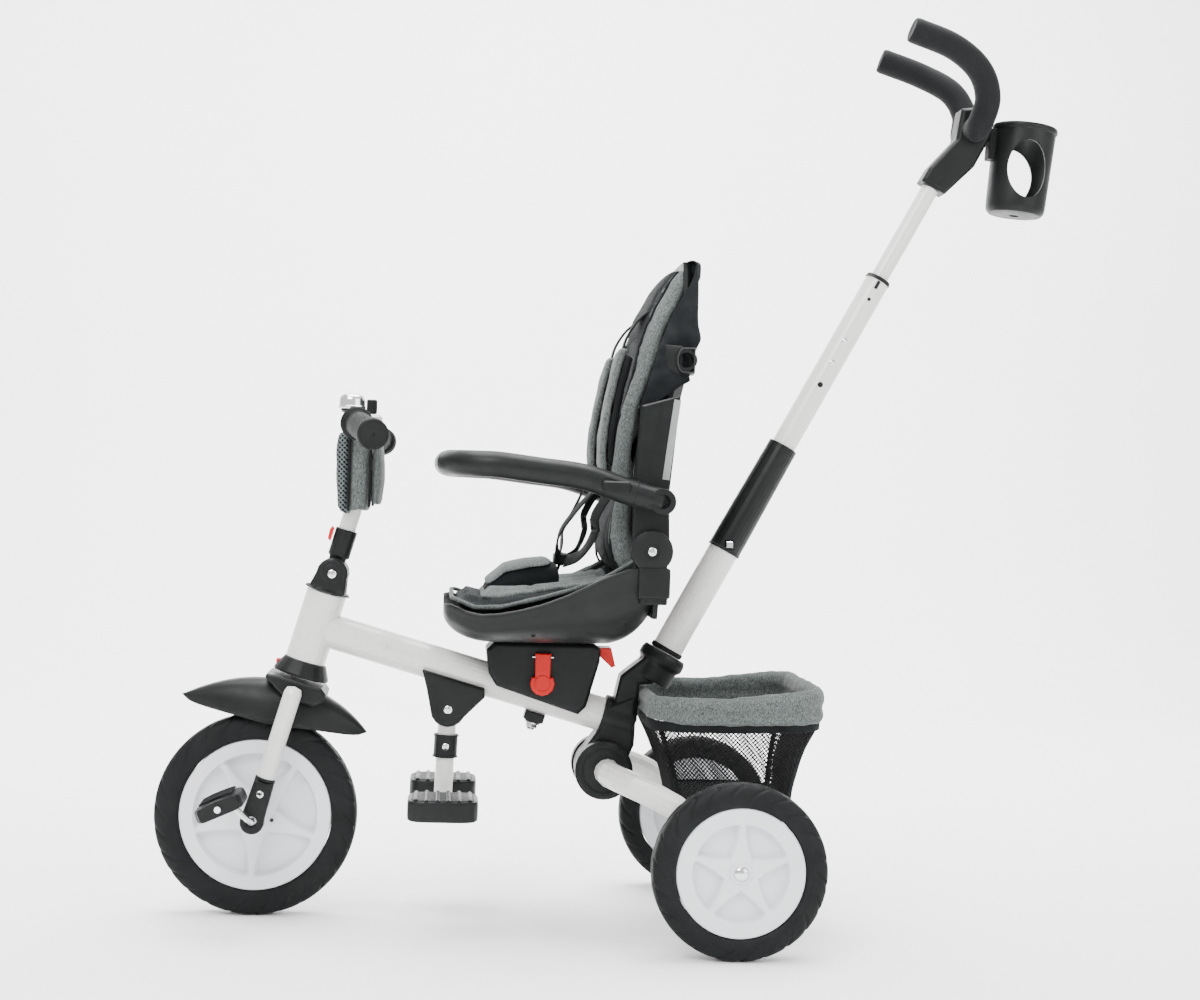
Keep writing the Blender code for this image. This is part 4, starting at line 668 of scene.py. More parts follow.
def make_tyre(node, rim, body, lobes):
    """A foamed tyre with a slanting wave of grooves over both shoulders."""
    low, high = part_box(node)
    centre, radius, half = 0.5 * (low + high), 0.5 * (high.z - low.z), 0.5 * (high.y - low.y)
    guide = [(0.0, radius), (0.35 * half, radius - 0.0002), (0.62 * half, radius - 0.0012),
             (0.80 * half, radius - 0.0042),
             (0.93 * half, radius - 0.0095), (0.995 * half, radius - 0.0165), (0.98 * half, rim + 0.008),
             (0.93 * half, rim + 0.003), (0.82 * half, rim + 0.0004)]
    side = smooth_curve(guide, 34)
    profile = np.vstack([side[::-1] * (-1, 1), side[1:]])
    tangent = np.gradient(profile, axis=0)
    outward = np.stack([-tangent[:, 1], tangent[:, 0]], axis=1)
    outward /= np.linalg.norm(outward, axis=1)[:, None]
    outward *= np.where((outward * (profile - (0.0, rim))).sum(axis=1) < 0.0, -1.0, 1.0)[:, None]
    columns = 720
    rows = np.zeros((columns, len(profile), 3))
    for k in range(columns):
        angle = 2.0 * math.pi * k / columns
        for i, (y, r) in enumerate(profile):
            s = abs(y) / half
            window = step(s, 0.30, 0.52) * step(r, radius - 0.021, radius - 0.013)
            cut = 0.0
            if window > 0.0:
                phase = (lobes * angle / (2.0 * math.pi) + (0.5 if y < 0.0 else 0.0) + 1.1 * (s - 0.5) ** 2 + 2.2 * (radius - r) / 0.02 * 0.25) % 1.0
                cut = 0.0016 * window * math.exp(-((phase - 0.5) / 0.085) ** 2)
            middle_groove = 0.0010 * math.exp(-((s - 0.0) / 0.05) ** 2) * (0.5 + 0.5 * math.sin(0.5 * lobes * angle))
            y_here, r_here = (y, r) - outward[i] * (cut + middle_groove * (1.0 if s < 0.2 else 0.0))
            rows[k, i] = (centre.x + r_here * math.cos(angle), centre.y + y_here,
                          centre.z + r_here * math.sin(angle))
    obj = surface(node + "_look", rows, "rubber", body, wrap_rows=True, wrap_columns=True)
    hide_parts(node)


def make_rim(node, body, base, pocket, ring_share, spread, sides=360):
    """A moulded rim: a flat ring, and five arms that flare out of the hub between recessed pockets."""
    low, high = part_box(node)
    centre, radius, half = 0.5 * (low + high), 0.5 * (high.z - low.z), 0.5 * (high.y - low.y)
    inner, bore = ring_share * radius, 0.0064
    radii = np.r_[np.linspace(bore, inner - 0.006, 46), np.linspace(inner - 0.0055, inner + 0.003, 14),
                  [radius - 0.003, radius - 0.0012, radius]]
    loops = []
    for sign in (1.0, -1.0):
        grid = []
        for r in radii:
            row = []
            for k in range(sides):
                angle = 2.0 * math.pi * k / sides
                share = min(1.0, max(0.0, (r - 0.014) / (inner - 0.014)))
                nearest = (angle - base + math.pi / 5.0) % (2.0 * math.pi / 5.0) - math.pi / 5.0
                off = abs(r * math.sin(nearest))
                width = 0.0022 + spread * (1.0 - share) ** 1.9
                arm = 1.0 - step(off, width, width + 0.0065)
                hub = 1.0 - step(r, 0.019, 0.025)
                crest = 0.0009 * max(0.0, 1.0 - off / (width + 0.004)) * step(r, 0.02, 0.034)
                raised = max(arm, hub)
                height = half - 0.0022 - pocket * (1.0 - raised) + crest
                boss = 0.0022 * (1.0 - step(r, 0.0125, 0.0145))
                height += boss
                rise = step(r, inner - 0.0035, inner + 0.0005)
                height = height * (1.0 - rise) + half * rise
                if r > radius - 0.0004:
                    height = half - 0.0010
                row.append((centre.x + r * math.cos(angle), centre.y + sign * height,
                            centre.z + r * math.sin(angle)))
            grid.append(row)
        loops.append(grid)
    rows = np.array(loops[0] + loops[1][::-1])
    obj = surface(node + "_look", rows, "rim", body, wrap_rows=True, wrap_columns=True, sharp=38.0)
    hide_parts(node)


def make_wheels():
    make_tyre("front_tyre", 0.0952, "front_wheel", 26)
    make_rim("front_rim", "front_wheel", math.radians(128.0), 0.0105, 0.82, 0.0165)
    for side, sign in (("left", 1.0), ("right", -1.0)):
        body = side + "_rear_wheel"
        make_tyre("rear_tyre_" + side, 0.0772, body, 22)
        make_rim("rear_rim_" + side, body, math.radians(90.0), 0.0090, 0.755, 0.0120)
        hub = middle("rear_rim_" + side)
        cap = Vector((hub.x, sign * 0.2278, hub.z))
        profile = [(0.0093, 0.0), (0.0093, 0.0012), (0.0082, 0.0026), (0.0058, 0.0040), (0.0030, 0.0046),
                   (0.0, 0.0048)]
        lathe("hub_cap_" + side, profile, cap, (0.0, sign, 0.0), "steel", body, 48, 60.0)
        lathe("hub_washer_" + side, [(0.0118, -0.0005), (0.0118, 0.0006), (0.0108, 0.0010), (0.0, 0.0010)],
              cap, (0.0, sign, 0.0), "rim", body, 48)
    dot("front_valve_dot", (AXLE.x - 0.021, 0.0182, AXLE.z - 0.006), (0.0, 1.0, 0.0), 0.0024, "grey",
        "front_wheel", 0.0008)


# ---------------------------------------------------------------- fork, mudguard and pedals
def make_mudguard():
    """A saddle over the tyre that runs to a point at both ends."""
    low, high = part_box("mudguard")
    half_width = 0.5 * (high.y - low.y)
    crest_radius = high.z - AXLE.z
    front, rear = math.radians(57.0), math.radians(142.0)
    wall = 0.0024
    skins = []
    for depth in (0.0, wall):
        rows = []
        for t in np.linspace(0.0, 1.0, 81):
            angle = front + (rear - front) * t
            spread = max(math.sin(math.pi * t), 0.0) ** 0.6
            crest = crest_radius + 0.006 * (1.0 - t) * (1.0 - spread)
            row = []
            for across in np.linspace(-1.0, 1.0, 41):
                half = (half_width - depth) * (0.06 + 0.94 * spread)
                fall = 0.052 * spread * (1.0 - math.cos(0.5 * math.pi * across)) ** 1.3
                lip = 0.0008 * step(abs(across), 0.93, 0.98) * (1.0 if depth == 0.0 else 0.0)
                radius = crest - depth - fall
                row.append((AXLE.x + radius * math.cos(angle),
                            (half + lip) * math.sin(0.5 * math.pi * across), AXLE.z + radius * math.sin(angle)))
            rows.append(row)
        skins.append(np.array(rows))
    outer, inner = skins
    sheet = np.concatenate([outer, inner[:, ::-1]], axis=1)
    obj = surface("mudguard_look", sheet, "black", "steering", sharp=60.0)
    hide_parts("mudguard")


def make_fork_details():
    end = middle("fork_end_left")
    lean = Vector((-0.27228, 0.0, 0.962218))
    for side, sign in (("left", 1.0), ("right", -1.0)):
        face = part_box("fork_end_" + side)[1 if sign > 0 else 0].y
        spot = Vector((AXLE.x, face, AXLE.z)) + lean * 0.035
        screw("fork_screw_" + side, spot - Vector((0.0, sign * 0.0006, 0.0)), (0.0, sign, 0.0), 0.0042,
              "steering")
        lathe("fork_collar_" + side, [(0.0112, 0.0), (0.0128, 0.0), (0.0130, 0.0012), (0.0124, 0.0030),
                                      (0.0112, 0.0034)],
              Vector((AXLE.x, end.y * sign, AXLE.z)) + lean * 0.0520, lean, "black", "steering", 40)
    fold = joint_place_of("handlebar_fold")
    for side, sign in (("left", 1.0), ("right", -1.0)):
        spot = Vector((fold.x, sign * 0.0246, fold.z))
        lathe("hinge_boss_" + side, [(0.0125, -0.001), (0.0125, 0.0008), (0.0112, 0.0016), (0.0066, 0.0016),
                                     (0.0062, 0.0006), (0.0, 0.0006)],
              spot, (0.0, sign, 0.0), "black", "steering", 48)
        screw("hinge_screw_" + side, spot + Vector((0.0, sign * 0.0008, 0.0)), (0.0, sign, 0.0), 0.0052,
              "steering")


def make_pedals():
    """Each pedal is a shallow tray with a humped tread and cross ribs."""
    for side, sign in (("left", 1.0), ("right", -1.0)):
        node = "pedal_" + side
        low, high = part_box(node)
        axis = joint_place_of("pedal_" + side + "_turn")
        inner, outer = (low.y, high.y) if sign > 0 else (high.y, low.y)
        tilt = math.radians(24.0)
        ahead = Vector((math.cos(tilt), 0.0, -math.sin(tilt)))
        up = Vector((math.sin(tilt), 0.0, math.cos(tilt)))
        rows = []
        for y in np.linspace(inner, outer, 25):
            share = abs(y - inner) / abs(outer - inner)
            end = min(share, 1.0 - share)
            length = 0.0290 - 0.0045 * (1.0 - step(end, 0.0, 0.12))
            row = []
            for u, v in pedal_section(length, 0.0030 * math.sin(math.pi * share)):
                row.append(Vector((axis.x, y, axis.z)) + ahead * u + up * v)
            rows.append(row)
        obj = surface(node + "_look", rows, "black", side + "_pedal", sharp=40.0)
        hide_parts(node)
        for number in range(5):
            y = inner + (outer - inner) * (0.18 + 0.16 * number)
            path = [Vector((axis.x, y, axis.z)) + ahead * u + up * (0.0098 + 0.0026 * (1.0 - (u / 0.03) ** 2)) for u in np.linspace(-0.020, 0.020, 12)]
            sweep(f"{node}_rib_{number}", path, 0.0014, "dull", side + "_pedal", 10, 0.0012)


def pedal_section(length, hump):
    """Round-cornered section of a pedal, with a hump on its upper face."""
    top = [(u, 0.0082 + (hump + 0.0012) * max(0.0, 1.0 - (u / (0.72 * length)) ** 2)) for u in np.linspace(-length + 0.004, length - 0.004, 17)]
    front = [(length - 0.0012, 0.0070), (length, 0.0042), (length, -0.0055), (length - 0.0015, -0.0080)]
    bottom = [(u, -0.0088) for u in np.linspace(length - 0.004, -length + 0.004, 9)]
    rear = [(-length + 0.0015, -0.0080), (-length, -0.0055), (-length, 0.0042), (-length + 0.0012, 0.0070)]
    return top + front + bottom + rear


# ---------------------------------------------------------------- handlebar
def make_grips():
    """Rubber grips: a knurled barrel between a wide inner flange and an end cap."""
    for side, sign in (("left", 1.0), ("right", -1.0)):
        start = at(-0.1120 - 0.0016, sign * (0.0700 + 0.0067), 0.6240 - 0.0010)
        end = at(-0.1120 - 0.0270, sign * 0.1820, 0.6240 - 0.0175)
        axis, u, v = basis(end - start)
        long = (end - start).length
        profile = [(0.0140, 0.0, 0), (0.0188, 0.0004, 0), (0.0202, 0.0014, 0), (0.0205, 0.0030, 0),
                   (0.0202, 0.0050, 0), (0.0186, 0.0064, 0),
                   (0.0160, 0.0074, 0), (0.0152, 0.0090, 0)]
        for s in np.linspace(0.012, long - 0.018, 60):
            share = (s - 0.012) / (long - 0.030)
            profile.append((0.0150 + 0.0009 * math.sin(math.pi * share), s, 1))
        profile += [(0.0150, long - 0.0160, 0), (0.0152, long - 0.0140, 0), (0.0176, long - 0.0125, 0),
                    (0.0186, long - 0.0105, 0),
                    (0.0188, long - 0.0060, 0), (0.0176, long - 0.0050, 0), (0.0176, long - 0.0042,
                                                                             0), (0.0187, long - 0.0034, 0),
                    (0.0186, long - 0.0014, 0), (0.0176, long - 0.0002, 0), (0.0160, long, 0), (0.0155,
                                                                                                long - 0.0006, 0),
                    (0.0040, long - 0.0002, 0), (0.0018, long - 0.0001, 0), (0.0014, long - 0.0010, 0), (0.0,
                                                                                                         long - 0.0010, 0)]
        rows = []
        for radius, s, knurl in profile:
            row = []
            for k in range(96):
                a = 2.0 * math.pi * k / 96
                relief = 0.0
                if knurl:
                    relief = 0.0007 * (abs(math.sin(12.0 * a + 260.0 * s)) + abs(math.sin(12.0 * a - 260.0 * s)) - 1.0)
                r = max(radius + relief, 1e-5)
                row.append(start + axis * s + (u * math.cos(a) + v * math.sin(a)) * r)
            rows.append(row)
        obj = surface("grip_" + side + "_look", rows, "dull", "handlebar", sharp=45.0)
        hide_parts("grip_" + side)


def make_bell():
    low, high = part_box("bell")
    centre = Vector((0.5 * (low.x + high.x), 0.5 * (low.y + high.y), low.z))
    radius, height = 0.5 * (high.x - low.x), high.z - low.z
    lathe("bell_base", [(0.0, 0.0004), (0.62 * radius, 0.0004), (0.80 * radius, 0.0030),
                        (0.82 * radius, 0.0068), (0.0, 0.0068)],
          centre, (0.0, 0.0, 1.0), "black", "handlebar", 48)
    dome = [(0.0, 0.0056), (0.90 * radius, 0.0056), (0.97 * radius, 0.0056), (radius, 0.0064),
            (radius, 0.0088), (0.965 * radius, 0.0094),
            (0.955 * radius, 0.0125), (0.945 * radius, 0.0165), (0.905 * radius, 0.0198), (0.80 * radius,
                                                                                           0.0222), (0.60 * radius, 0.0240),
            (0.30 * radius, 0.0250), (0.0, height)]
    bell = lathe("bell_dome", dome, centre, (0.0, 0.0, 1.0), "steel", "handlebar", 72, 40.0)
    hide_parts("bell")
    clamp = at(-0.1120, 0.0400, 0.6240)
    lathe("bell_band", [(0.0112, -0.007), (0.0132, -0.007), (0.0136, -0.005), (0.0136, 0.005),
                        (0.0132, 0.007), (0.0112, 0.007)],
          clamp, (0.0, 1.0, 0.0), "black", "handlebar", 40)


def soft_slab(name, outline, y_half, material, body, crown=0.004, corner=0.008, wrinkle=0.0012, seed=0.0):
    """A hanging slab of padded cloth: an outline in X and Z, stuffed and rounded across Y."""
    centre = np.mean(np.array(outline), axis=0)
    closed = smooth_curve([*outline, outline[0]], 72)[:-1]
    rows = []
    for y in np.linspace(-1.0, 1.0, 45):
        edge = (1.0 - abs(y) ** (y_half / corner)) ** 0.5 if abs(y) < 1.0 else 0.0
        grow = max(edge, 0.04)
        fat = 1.0 + crown * (1.0 - y * y) / 0.02
        row = []
        for x, z in closed:
            px = centre[0] + (x - centre[0]) * grow * fat
            pz = centre[1] + (z - centre[1]) * (0.93 + 0.07 * grow)
            row.append(at(px, y * y_half, pz))
        rows.append(row)
    obj = surface(name, rows, material, body)
    wobble(obj, wrinkle, 42.0, seed)
    return obj


def make_bar_bag():
    """A soft handlebar bag: knit pocket in front, padded body, and a flap of cloth behind the stem."""
    body = soft_slab("bar_bag_body", [(-0.1240, 0.6125), (-0.1070, 0.6120), (-0.1050, 0.5700),
                                      (-0.1060, 0.5190), (-0.1180, 0.5165), (-0.1290, 0.5190),
                                      (-0.1300, 0.5600)], 0.0610, "melange", "handlebar", 0.0022, 0.0080, 0.0014)
    pocket = soft_slab("bar_bag_pocket", [(-0.1058, 0.6080), (-0.0935, 0.6120), (-0.0885, 0.6000),
                                          (-0.0890, 0.5600), (-0.0925, 0.5210), (-0.0990, 0.5160),
                                          (-0.1058, 0.5180)], 0.0590, "mesh", "handlebar", 0.0016, 0.0080, 0.0016, 3.0)
    flap = soft_slab("bar_bag_flap", [(-0.1360, 0.6040), (-0.1440, 0.6000), (-0.1470, 0.5600),
                                      (-0.1440, 0.5270), (-0.1390, 0.5235), (-0.1350, 0.5290),
                                      (-0.1335, 0.5700)], 0.0590, "melange", "handlebar", 0.0012, 0.0080, 0.0010, 5.0)
    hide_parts("bar_bag")
    for number, y in enumerate((-0.046, 0.0285)):
        path = [at(x, y, z) for x, z in ((-0.0960, 0.6060), (-0.0960, 0.6240), (-0.1010, 0.6350),
                                         (-0.1120, 0.6385), (-0.1240, 0.6345), (-0.1290, 0.6230),
                                         (-0.1300, 0.6060))]
        ribbon(f"bag_loop_{number}", smooth_curve(path, 40), 0.020, (0.0, 0.0, 1.0), 0.0018, "lining",
               "handlebar",
               twist=lambda t, y=y: (math.cos(math.pi * t) * 0.9, 0.0, 0.5 + 0.8 * math.sin(math.pi * t)))
    for name, x, low, high in (("front", -0.1062, 0.5180, 0.6100), ("rear", -0.1318, 0.5210, 0.6080)):
        for side, sign in (("left", 1.0), ("right", -1.0)):
            path = [at(x, sign * 0.0585, z) for z in np.linspace(low, high, 20)]
            sweep(f"bag_piping_{name}_{side}", path, 0.0017, "lining", "handlebar", 10, 0.0015)


def make_stem_details():
    """Marks and small hardware on the tubes."""
    slope = math.radians(15.6)
    for number, (x, above) in enumerate(((-0.156, 0.004), (-0.388, 0.002))):
        base = 0.3047 + (x + 0.2840) * math.tan(slope)
        dot(f"tube_rivet_{number}", at(x, 0.0222, base + above), (0.0, 1.0, 0.0), 0.0032, "paint", "frame",
            0.0016)


# ---------------------------------------------------------------- basket
BASKET = {"front": -0.4880, "rear": -0.6960, "half": 0.1300, "top": 0.2990, "band": 0.0330, "floor": 0.1620}


def basket_plan(grow, floor, count, corner=0.040):
    """The basket's outline in plan, from the front left corner round to the right."""
    front = BASKET["front"] + grow - 0.036 * floor
    rear = BASKET["rear"] - grow + 0.024 * floor
    half = BASKET["half"] + grow - 0.028 * floor
    points = []
    for cx, cy, start in ((front - corner, half - corner, 0.0), (rear + corner, half - corner, 90.0),
                          (rear + corner, -half + corner, 180.0), (front - corner, -half + corner, 270.0)):
        for a in np.radians(np.linspace(start, start + 90.0, 12)):
            points.append((cx + corner * math.cos(a), cy + corner * math.sin(a)))
    points.append(points[0])
    points = np.array(points)
    lengths = np.r_[0.0, np.cumsum(np.linalg.norm(np.diff(points, axis=0), axis=1))]
    wanted = np.linspace(0.0, lengths[-1], count, endpoint=False)
    return np.stack([np.interp(wanted, lengths, points[:, k]) for k in range(2)], axis=1)


def basket_rise(x):
    back = (BASKET["front"] - x) / (BASKET["front"] - BASKET["rear"])
    return 0.0140 * max(0.0, back - 0.45) / 0.55


def make_basket_rim():
    """The padded rim: cloth rolled over a wire, with a softer band sewn under it."""
    count = 260
    plan = basket_plan(0.0, 0.0, count)
    ahead = np.roll(plan, -1, axis=0) - np.roll(plan, 1, axis=0)
    ahead /= np.linalg.norm(ahead, axis=1)[:, None]
    outward = np.stack([ahead[:, 1], -ahead[:, 0]], axis=1)
    low, top = BASKET["top"] - BASKET["band"], BASKET["top"]
    section = smooth_curve([(0.0005, low), (0.0062, low + 0.0015), (0.0082, low + 0.0080),
                            (0.0060, low + 0.0145), (0.0085, low + 0.0215),
                            (0.0068, top - 0.0035), (0.0, top + 0.0010), (-0.0068, top - 0.0035), (-0.0085,
                                                                                                   low + 0.0215),
                            (-0.0060, low + 0.0140), (-0.0075, low + 0.0070), (-0.0050,
                                                                               low + 0.0010), (0.0005,
                                                                                               low)], 61)[:-1]
    rows = []
    for i in range(count):
        x, y = plan[i]
        rise = basket_rise(x)
        front = step(x, BASKET["front"] - 0.045, BASKET["front"] - 0.005)
        row = []
        for n, z in section:
            share = (z - low) / (top - low)
            pinch = 1.0 - 0.35 * front * (1.0 - share)
            sag = 0.0016 * noise.noise(Vector((x * 22.0, y * 22.0, share * 2.0 + SEED)))
            z_here = z + rise * (0.25 + 0.75 * share) + 0.004 * front * (1.0 - share)
            out = n * pinch + sag
            row.append(at(x + outward[i, 0] * out, y + outward[i, 1] * out, z_here))
        rows.append(row)
    rim = surface("basket_rim_look", rows, "melange", "frame", wrap_rows=True, wrap_columns=True)
    wobble(rim, 0.0011, 95.0, 2.0)
    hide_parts("basket_rim")
    return plan, outward


def closed_strip(name, plan, outward, levels, material, body):
    """A band round the basket: (outward, height) pairs make its section."""
    rows = []
    for (x, y), (ox, oy) in zip(plan, outward):
        rise = 0.25 * basket_rise(x)
        rows.append([at(x + ox * n, y + oy * n, z + rise) for n, z in levels])
    return surface(name, rows, material, body, wrap_rows=True, wrap_columns=True, sharp=50.0)


def make_basket_net(plan, outward):
    """Knotted net walls with a bound top edge, bound corners and a cloth floor."""
    top, floor = BASKET["top"] - BASKET["band"], BASKET["floor"]
    closed_strip("basket_trim", plan, outward, [(0.0028, top - 0.0085), (0.0040, top - 0.0078),
                                                (0.0045, top + 0.0010), (0.0030, top + 0.0030),
                                                (-0.0030, top + 0.0030), (-0.0042, top + 0.0010), (-0.0036,
                                                                                                   top - 0.0078), (-0.0024, top - 0.0085)],
                 "lining", "frame")
    columns, levels = 132, 34
    bm = bmesh.new()
    tops, bottoms = basket_plan(0.0, 0.0, 2 * columns), basket_plan(-0.001, 1.0, 2 * columns)
    verts = []
    for j in range(levels + 1):
        share = j / levels
        row = []
        for i in range(columns):
            k = (2 * i + (j % 2)) % (2 * columns)
            bell = share ** 1.15
            x, y = tops[k] * (1.0 - bell) + bottoms[k] * bell
            centre = np.array((0.5 * (BASKET["front"] + BASKET["rear"]), 0.0))
            slack = -0.007 * math.sin(math.pi * share) + 0.004 * noise.noise(Vector((x * 16.0, y * 16.0,
                                                                                     share * 2.5)))
            away = (np.array((x, y)) - centre) / np.linalg.norm(np.array((x, y)) - centre)
            z = top - 0.006 - (top - 0.006 - floor) * share + 0.25 * basket_rise(x) * (1.0 - share)
            row.append(bm.verts.new(at(x + away[0] * slack, y + away[1] * slack, z)))
        verts.append(row)
    for j in range(levels - 1):
        for i in range(columns):
            if j % 2 == 0:
                quad = (verts[j][i], verts[j + 1][i], verts[j + 2][i], verts[j + 1][(i - 1) % columns])
            else:
                quad = (verts[j][i], verts[j + 1][(i + 1) % columns], verts[j + 2][i], verts[j + 1][i])
            bm.faces.new(quad)
    net = from_bmesh("basket_net_look", bm, "thread", "frame")
    wire = net.modifiers.new("Threads", "WIREFRAME")
    wire.thickness = 0.0017
    wire.use_even_offset = False
    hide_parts("basket_net")
    count = 120
    ground = basket_plan(-0.0015, 1.0, count)
    bm = bmesh.new()
    rings = []
    for share in np.linspace(1.0, 0.04, 16):
        ring_verts = []
        for x, y in ground:
            cx = 0.5 * (BASKET["front"] - 0.036 + BASKET["rear"] + 0.024)
            px, py = cx + (x - cx) * share, y * share
            sag = -0.0010 + 0.0015 * noise.noise(Vector((px * 30.0, py * 30.0, 4.0)))
            ring_verts.append(bm.verts.new(at(px, py, floor + 0.0022 + sag)))
        rings.append(ring_verts)
    for a, b in zip(rings, rings[1:]):
        for i in range(count):
            j = (i + 1) % count
            bm.faces.new((a[i], a[j], b[j], b[i]))
    bm.faces.new(rings[-1])
    base = from_bmesh("basket_floor", bm, "lining", "frame")
    thick = base.modifiers.new("Thickness", "SOLIDIFY")
    thick.thickness = 0.0016
    hem = [at(x, y, floor + 0.0016) for x, y in ground]
    rows = []
    tangents = np.roll(ground, -1, axis=0) - np.roll(ground, 1, axis=0)
    tangents /= np.linalg.norm(tangents, axis=1)[:, None]
    for point, (tx, ty) in zip(hem, tangents):
        rows.append(ring(point, (ty, -tx, 0.0), (0.0, 0.0, 1.0), 0.0022, 10))
    surface("basket_hem", rows, "lining", "frame", wrap_rows=True, wrap_columns=True)
    for number, k in enumerate(corner_places(tops)):
        path = []
        for share in np.linspace(0.02, 1.0, 26):
            bell = share ** 1.15
            x, y = tops[k] * (1.0 - bell) + bottoms[k] * bell
            away = np.array((x, y)) - np.array((0.5 * (BASKET["front"] + BASKET["rear"]), 0.0))
            away /= np.linalg.norm(away)
            slack = -0.0060 * math.sin(math.pi * share)
            z = top - (top - floor) * share
            path.append(at(x + away[0] * slack, y + away[1] * slack, z))
        facing = Vector(path[10]) - at(0.5 * (BASKET["front"] + BASKET["rear"]), 0.0, path[10].z)
        ribbon(f"basket_binding_{number}", path, 0.0075, facing, 0.0016, "lining", "frame")


def corner_places(plan):
    """Which points of the plan lie on its four corners."""
    cx = 0.5 * (BASKET["front"] + BASKET["rear"])
    places = []
    for sx, sy in ((1, 1), (-1, 1), (-1, -1), (1, -1)):
        scores = sx * (plan[:, 0] - cx) / (BASKET["front"] - cx) + sy * plan[:, 1] / BASKET["half"]
        places.append(int(np.argmax(scores)))
    return places


# ---------------------------------------------------------------- seat
SEAT_FRONT, SEAT_REAR, SEAT_HALF = -0.2275, -0.4880, 0.1600


def between(table, x):
    """A smooth value from a table of (place, value) pairs in falling order of place."""
    places = np.array([p for p, _ in table])[::-1]
    values = np.array([v for _, v in table])[::-1]
    return float(np.interp(x, places, values))


RIM_LINE = [(-0.2275, 0.4040), (-0.2369, 0.4052), (-0.2540, 0.3985), (-0.2731, 0.3950), (-0.2950, 0.3968),
            (-0.3200, 0.4018), (-0.3455, 0.4090),
            (-0.3757, 0.4208), (-0.4000, 0.4330), (-0.4214, 0.4438), (-0.4484, 0.4543), (-0.4700,
                                                                                         0.4580), (-0.4880,
                                                                                                   0.4590)]


def bucket(x):
    """Floor height, half width and rim height of the bucket at a place along it."""
    floor = 0.3570
    ahead = (x - (SEAT_FRONT - 0.060)) / 0.060
    if ahead > 0.0:
        floor += 0.0350 * (1.0 - math.sqrt(max(0.0, 1.0 - min(ahead, 1.0) ** 2)))
    behind = ((SEAT_REAR + 0.062) - x) / 0.062
    if behind > 0.0:
        floor += 0.0720 * (1.0 - math.sqrt(max(0.0, 1.0 - min(behind, 1.0) ** 2)))
    corner = (x - (SEAT_FRONT - 0.055)) / 0.055
    half = SEAT_HALF
    if corner > 0.0:
        half -= 0.0480 * (1.0 - math.sqrt(max(0.0, 1.0 - min(corner, 1.0) ** 2)))
    return floor, half, between(RIM_LINE, x)


def make_seat_shell():
    """A moulded bucket with a rolled lip, and the two ears that carry the back."""
    places = SEAT_FRONT + (SEAT_REAR - SEAT_FRONT) * (0.5 - 0.5 * np.cos(np.linspace(0.0, math.pi, 72)))
    angles = np.linspace(0.0, math.pi, 65)
    rows = []
    for x in places:
        floor, half, rim = bucket(x)
        outer, inner = [], []
        for a in angles:
            c, s = math.cos(a), math.sin(a)
            outer.append((x, math.copysign(abs(c) ** 0.55, c) * half, rim - (rim - floor) * s ** 0.72))
            depth = max(0.0, rim - floor - 0.0045)
            inner.append((x, math.copysign(abs(c) ** 0.55, c) * (half - 0.0048),
                          rim - 0.0002 - depth * s ** 0.72))
        lip_left = [(x, half + 0.0022, rim - 0.0030), (x, half + 0.0026, rim - 0.0008),
                    (x, half + 0.0012, rim + 0.0014), (x, half - 0.0026, rim + 0.0020),
                    (x, half - 0.0046, rim + 0.0008)]
        lip_right = [(px, -py, pz) for px, py, pz in lip_left]
        row = [*lip_left[::-1], *outer[2:-2], *lip_right, *inner[::-1][1:-1]]
        rows.append([at(*p) for p in row])
    shell = surface("seat_shell_look", rows, "black", "seat", sharp=55.0)
    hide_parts("seat_shell")
    wall = []
    for z in np.linspace(0.3960, 0.4560, 9):
        lift = (z - 0.3960) / 0.0600
        half = 0.1490 + 0.0050 * lift
        row = []
        for y in np.linspace(-half, half, 21):
            row.append(at(-0.4856 - 0.0030 * lift, y, z))
        for y in np.linspace(half, -half, 21):
            row.append(at(-0.4800 - 0.0010 * lift, y, z))
        wall.append(row)
    surface("seat_rear_wall", wall, "black", "seat", sharp=50.0)
    recline = joint_place_of("backrest_recline")
    for side, sign in (("left", 1.0), ("right", -1.0)):
        middle_y = sign * 0.1580
        pillow("seat_ear_" + side, at(-0.4985, middle_y - 0.0085, 0.4215),
               at(-0.4600, middle_y + 0.0085, 0.4585), "black", "seat", 0.16)
        pillow("seat_ear_foot_" + side, at(-0.4955, middle_y - 0.0075, 0.4140),
               at(-0.4625, middle_y + 0.0075, 0.4300), "black", "seat", 0.16)
        pillow("seat_ear_neck_" + side, at(-0.4945, middle_y - 0.0058, 0.4450),
               at(-0.4600, middle_y + 0.0058, 0.4720), "black", "seat", 0.2)
        face = Vector((recline.x, sign * 0.1640, recline.z))
        lathe("recline_disc_" + side, [(0.0, -0.0118), (0.0245, -0.0118), (0.0255, -0.0105),
                                       (0.0255, -0.0016), (0.0247, -0.0004), (0.0236, 0.0),
                                       (0.0120, 0.0006), (0.0092, 0.0007), (0.0088, -0.0001), (0.0062,
                                                                                               -0.0001), (0.0, -0.0001)],
              face, (0.0, sign, 0.0), "black", "seat", 80, 40.0)
        screw("recline_screw_" + side, face, (0.0, sign, 0.0), 0.0050, "seat", 0.0016)
    for number, (x, z) in enumerate(((-0.3365, 0.3725), (-0.4480, 0.3900))):
        floor, half, rim = bucket(x)
        share = (rim - z) / (rim - floor)
        a = math.asin(min(1.0, share ** (1.0 / 0.72)))
        y = math.cos(a) ** 0.55 * half
        for side, sign in (("left", 1.0), ("right", -1.0)):
            lathe(f"shell_mark_{number}_{side}", [(0.0030, -0.001), (0.0030, 0.0006), (0.0022, 0.0008),
                                                  (0.0018, 0.0000), (0.0, 0.0000)],
                  at(x, sign * (y - 0.0002), z), (0.0, sign, -0.35), "dull", "seat", 24)


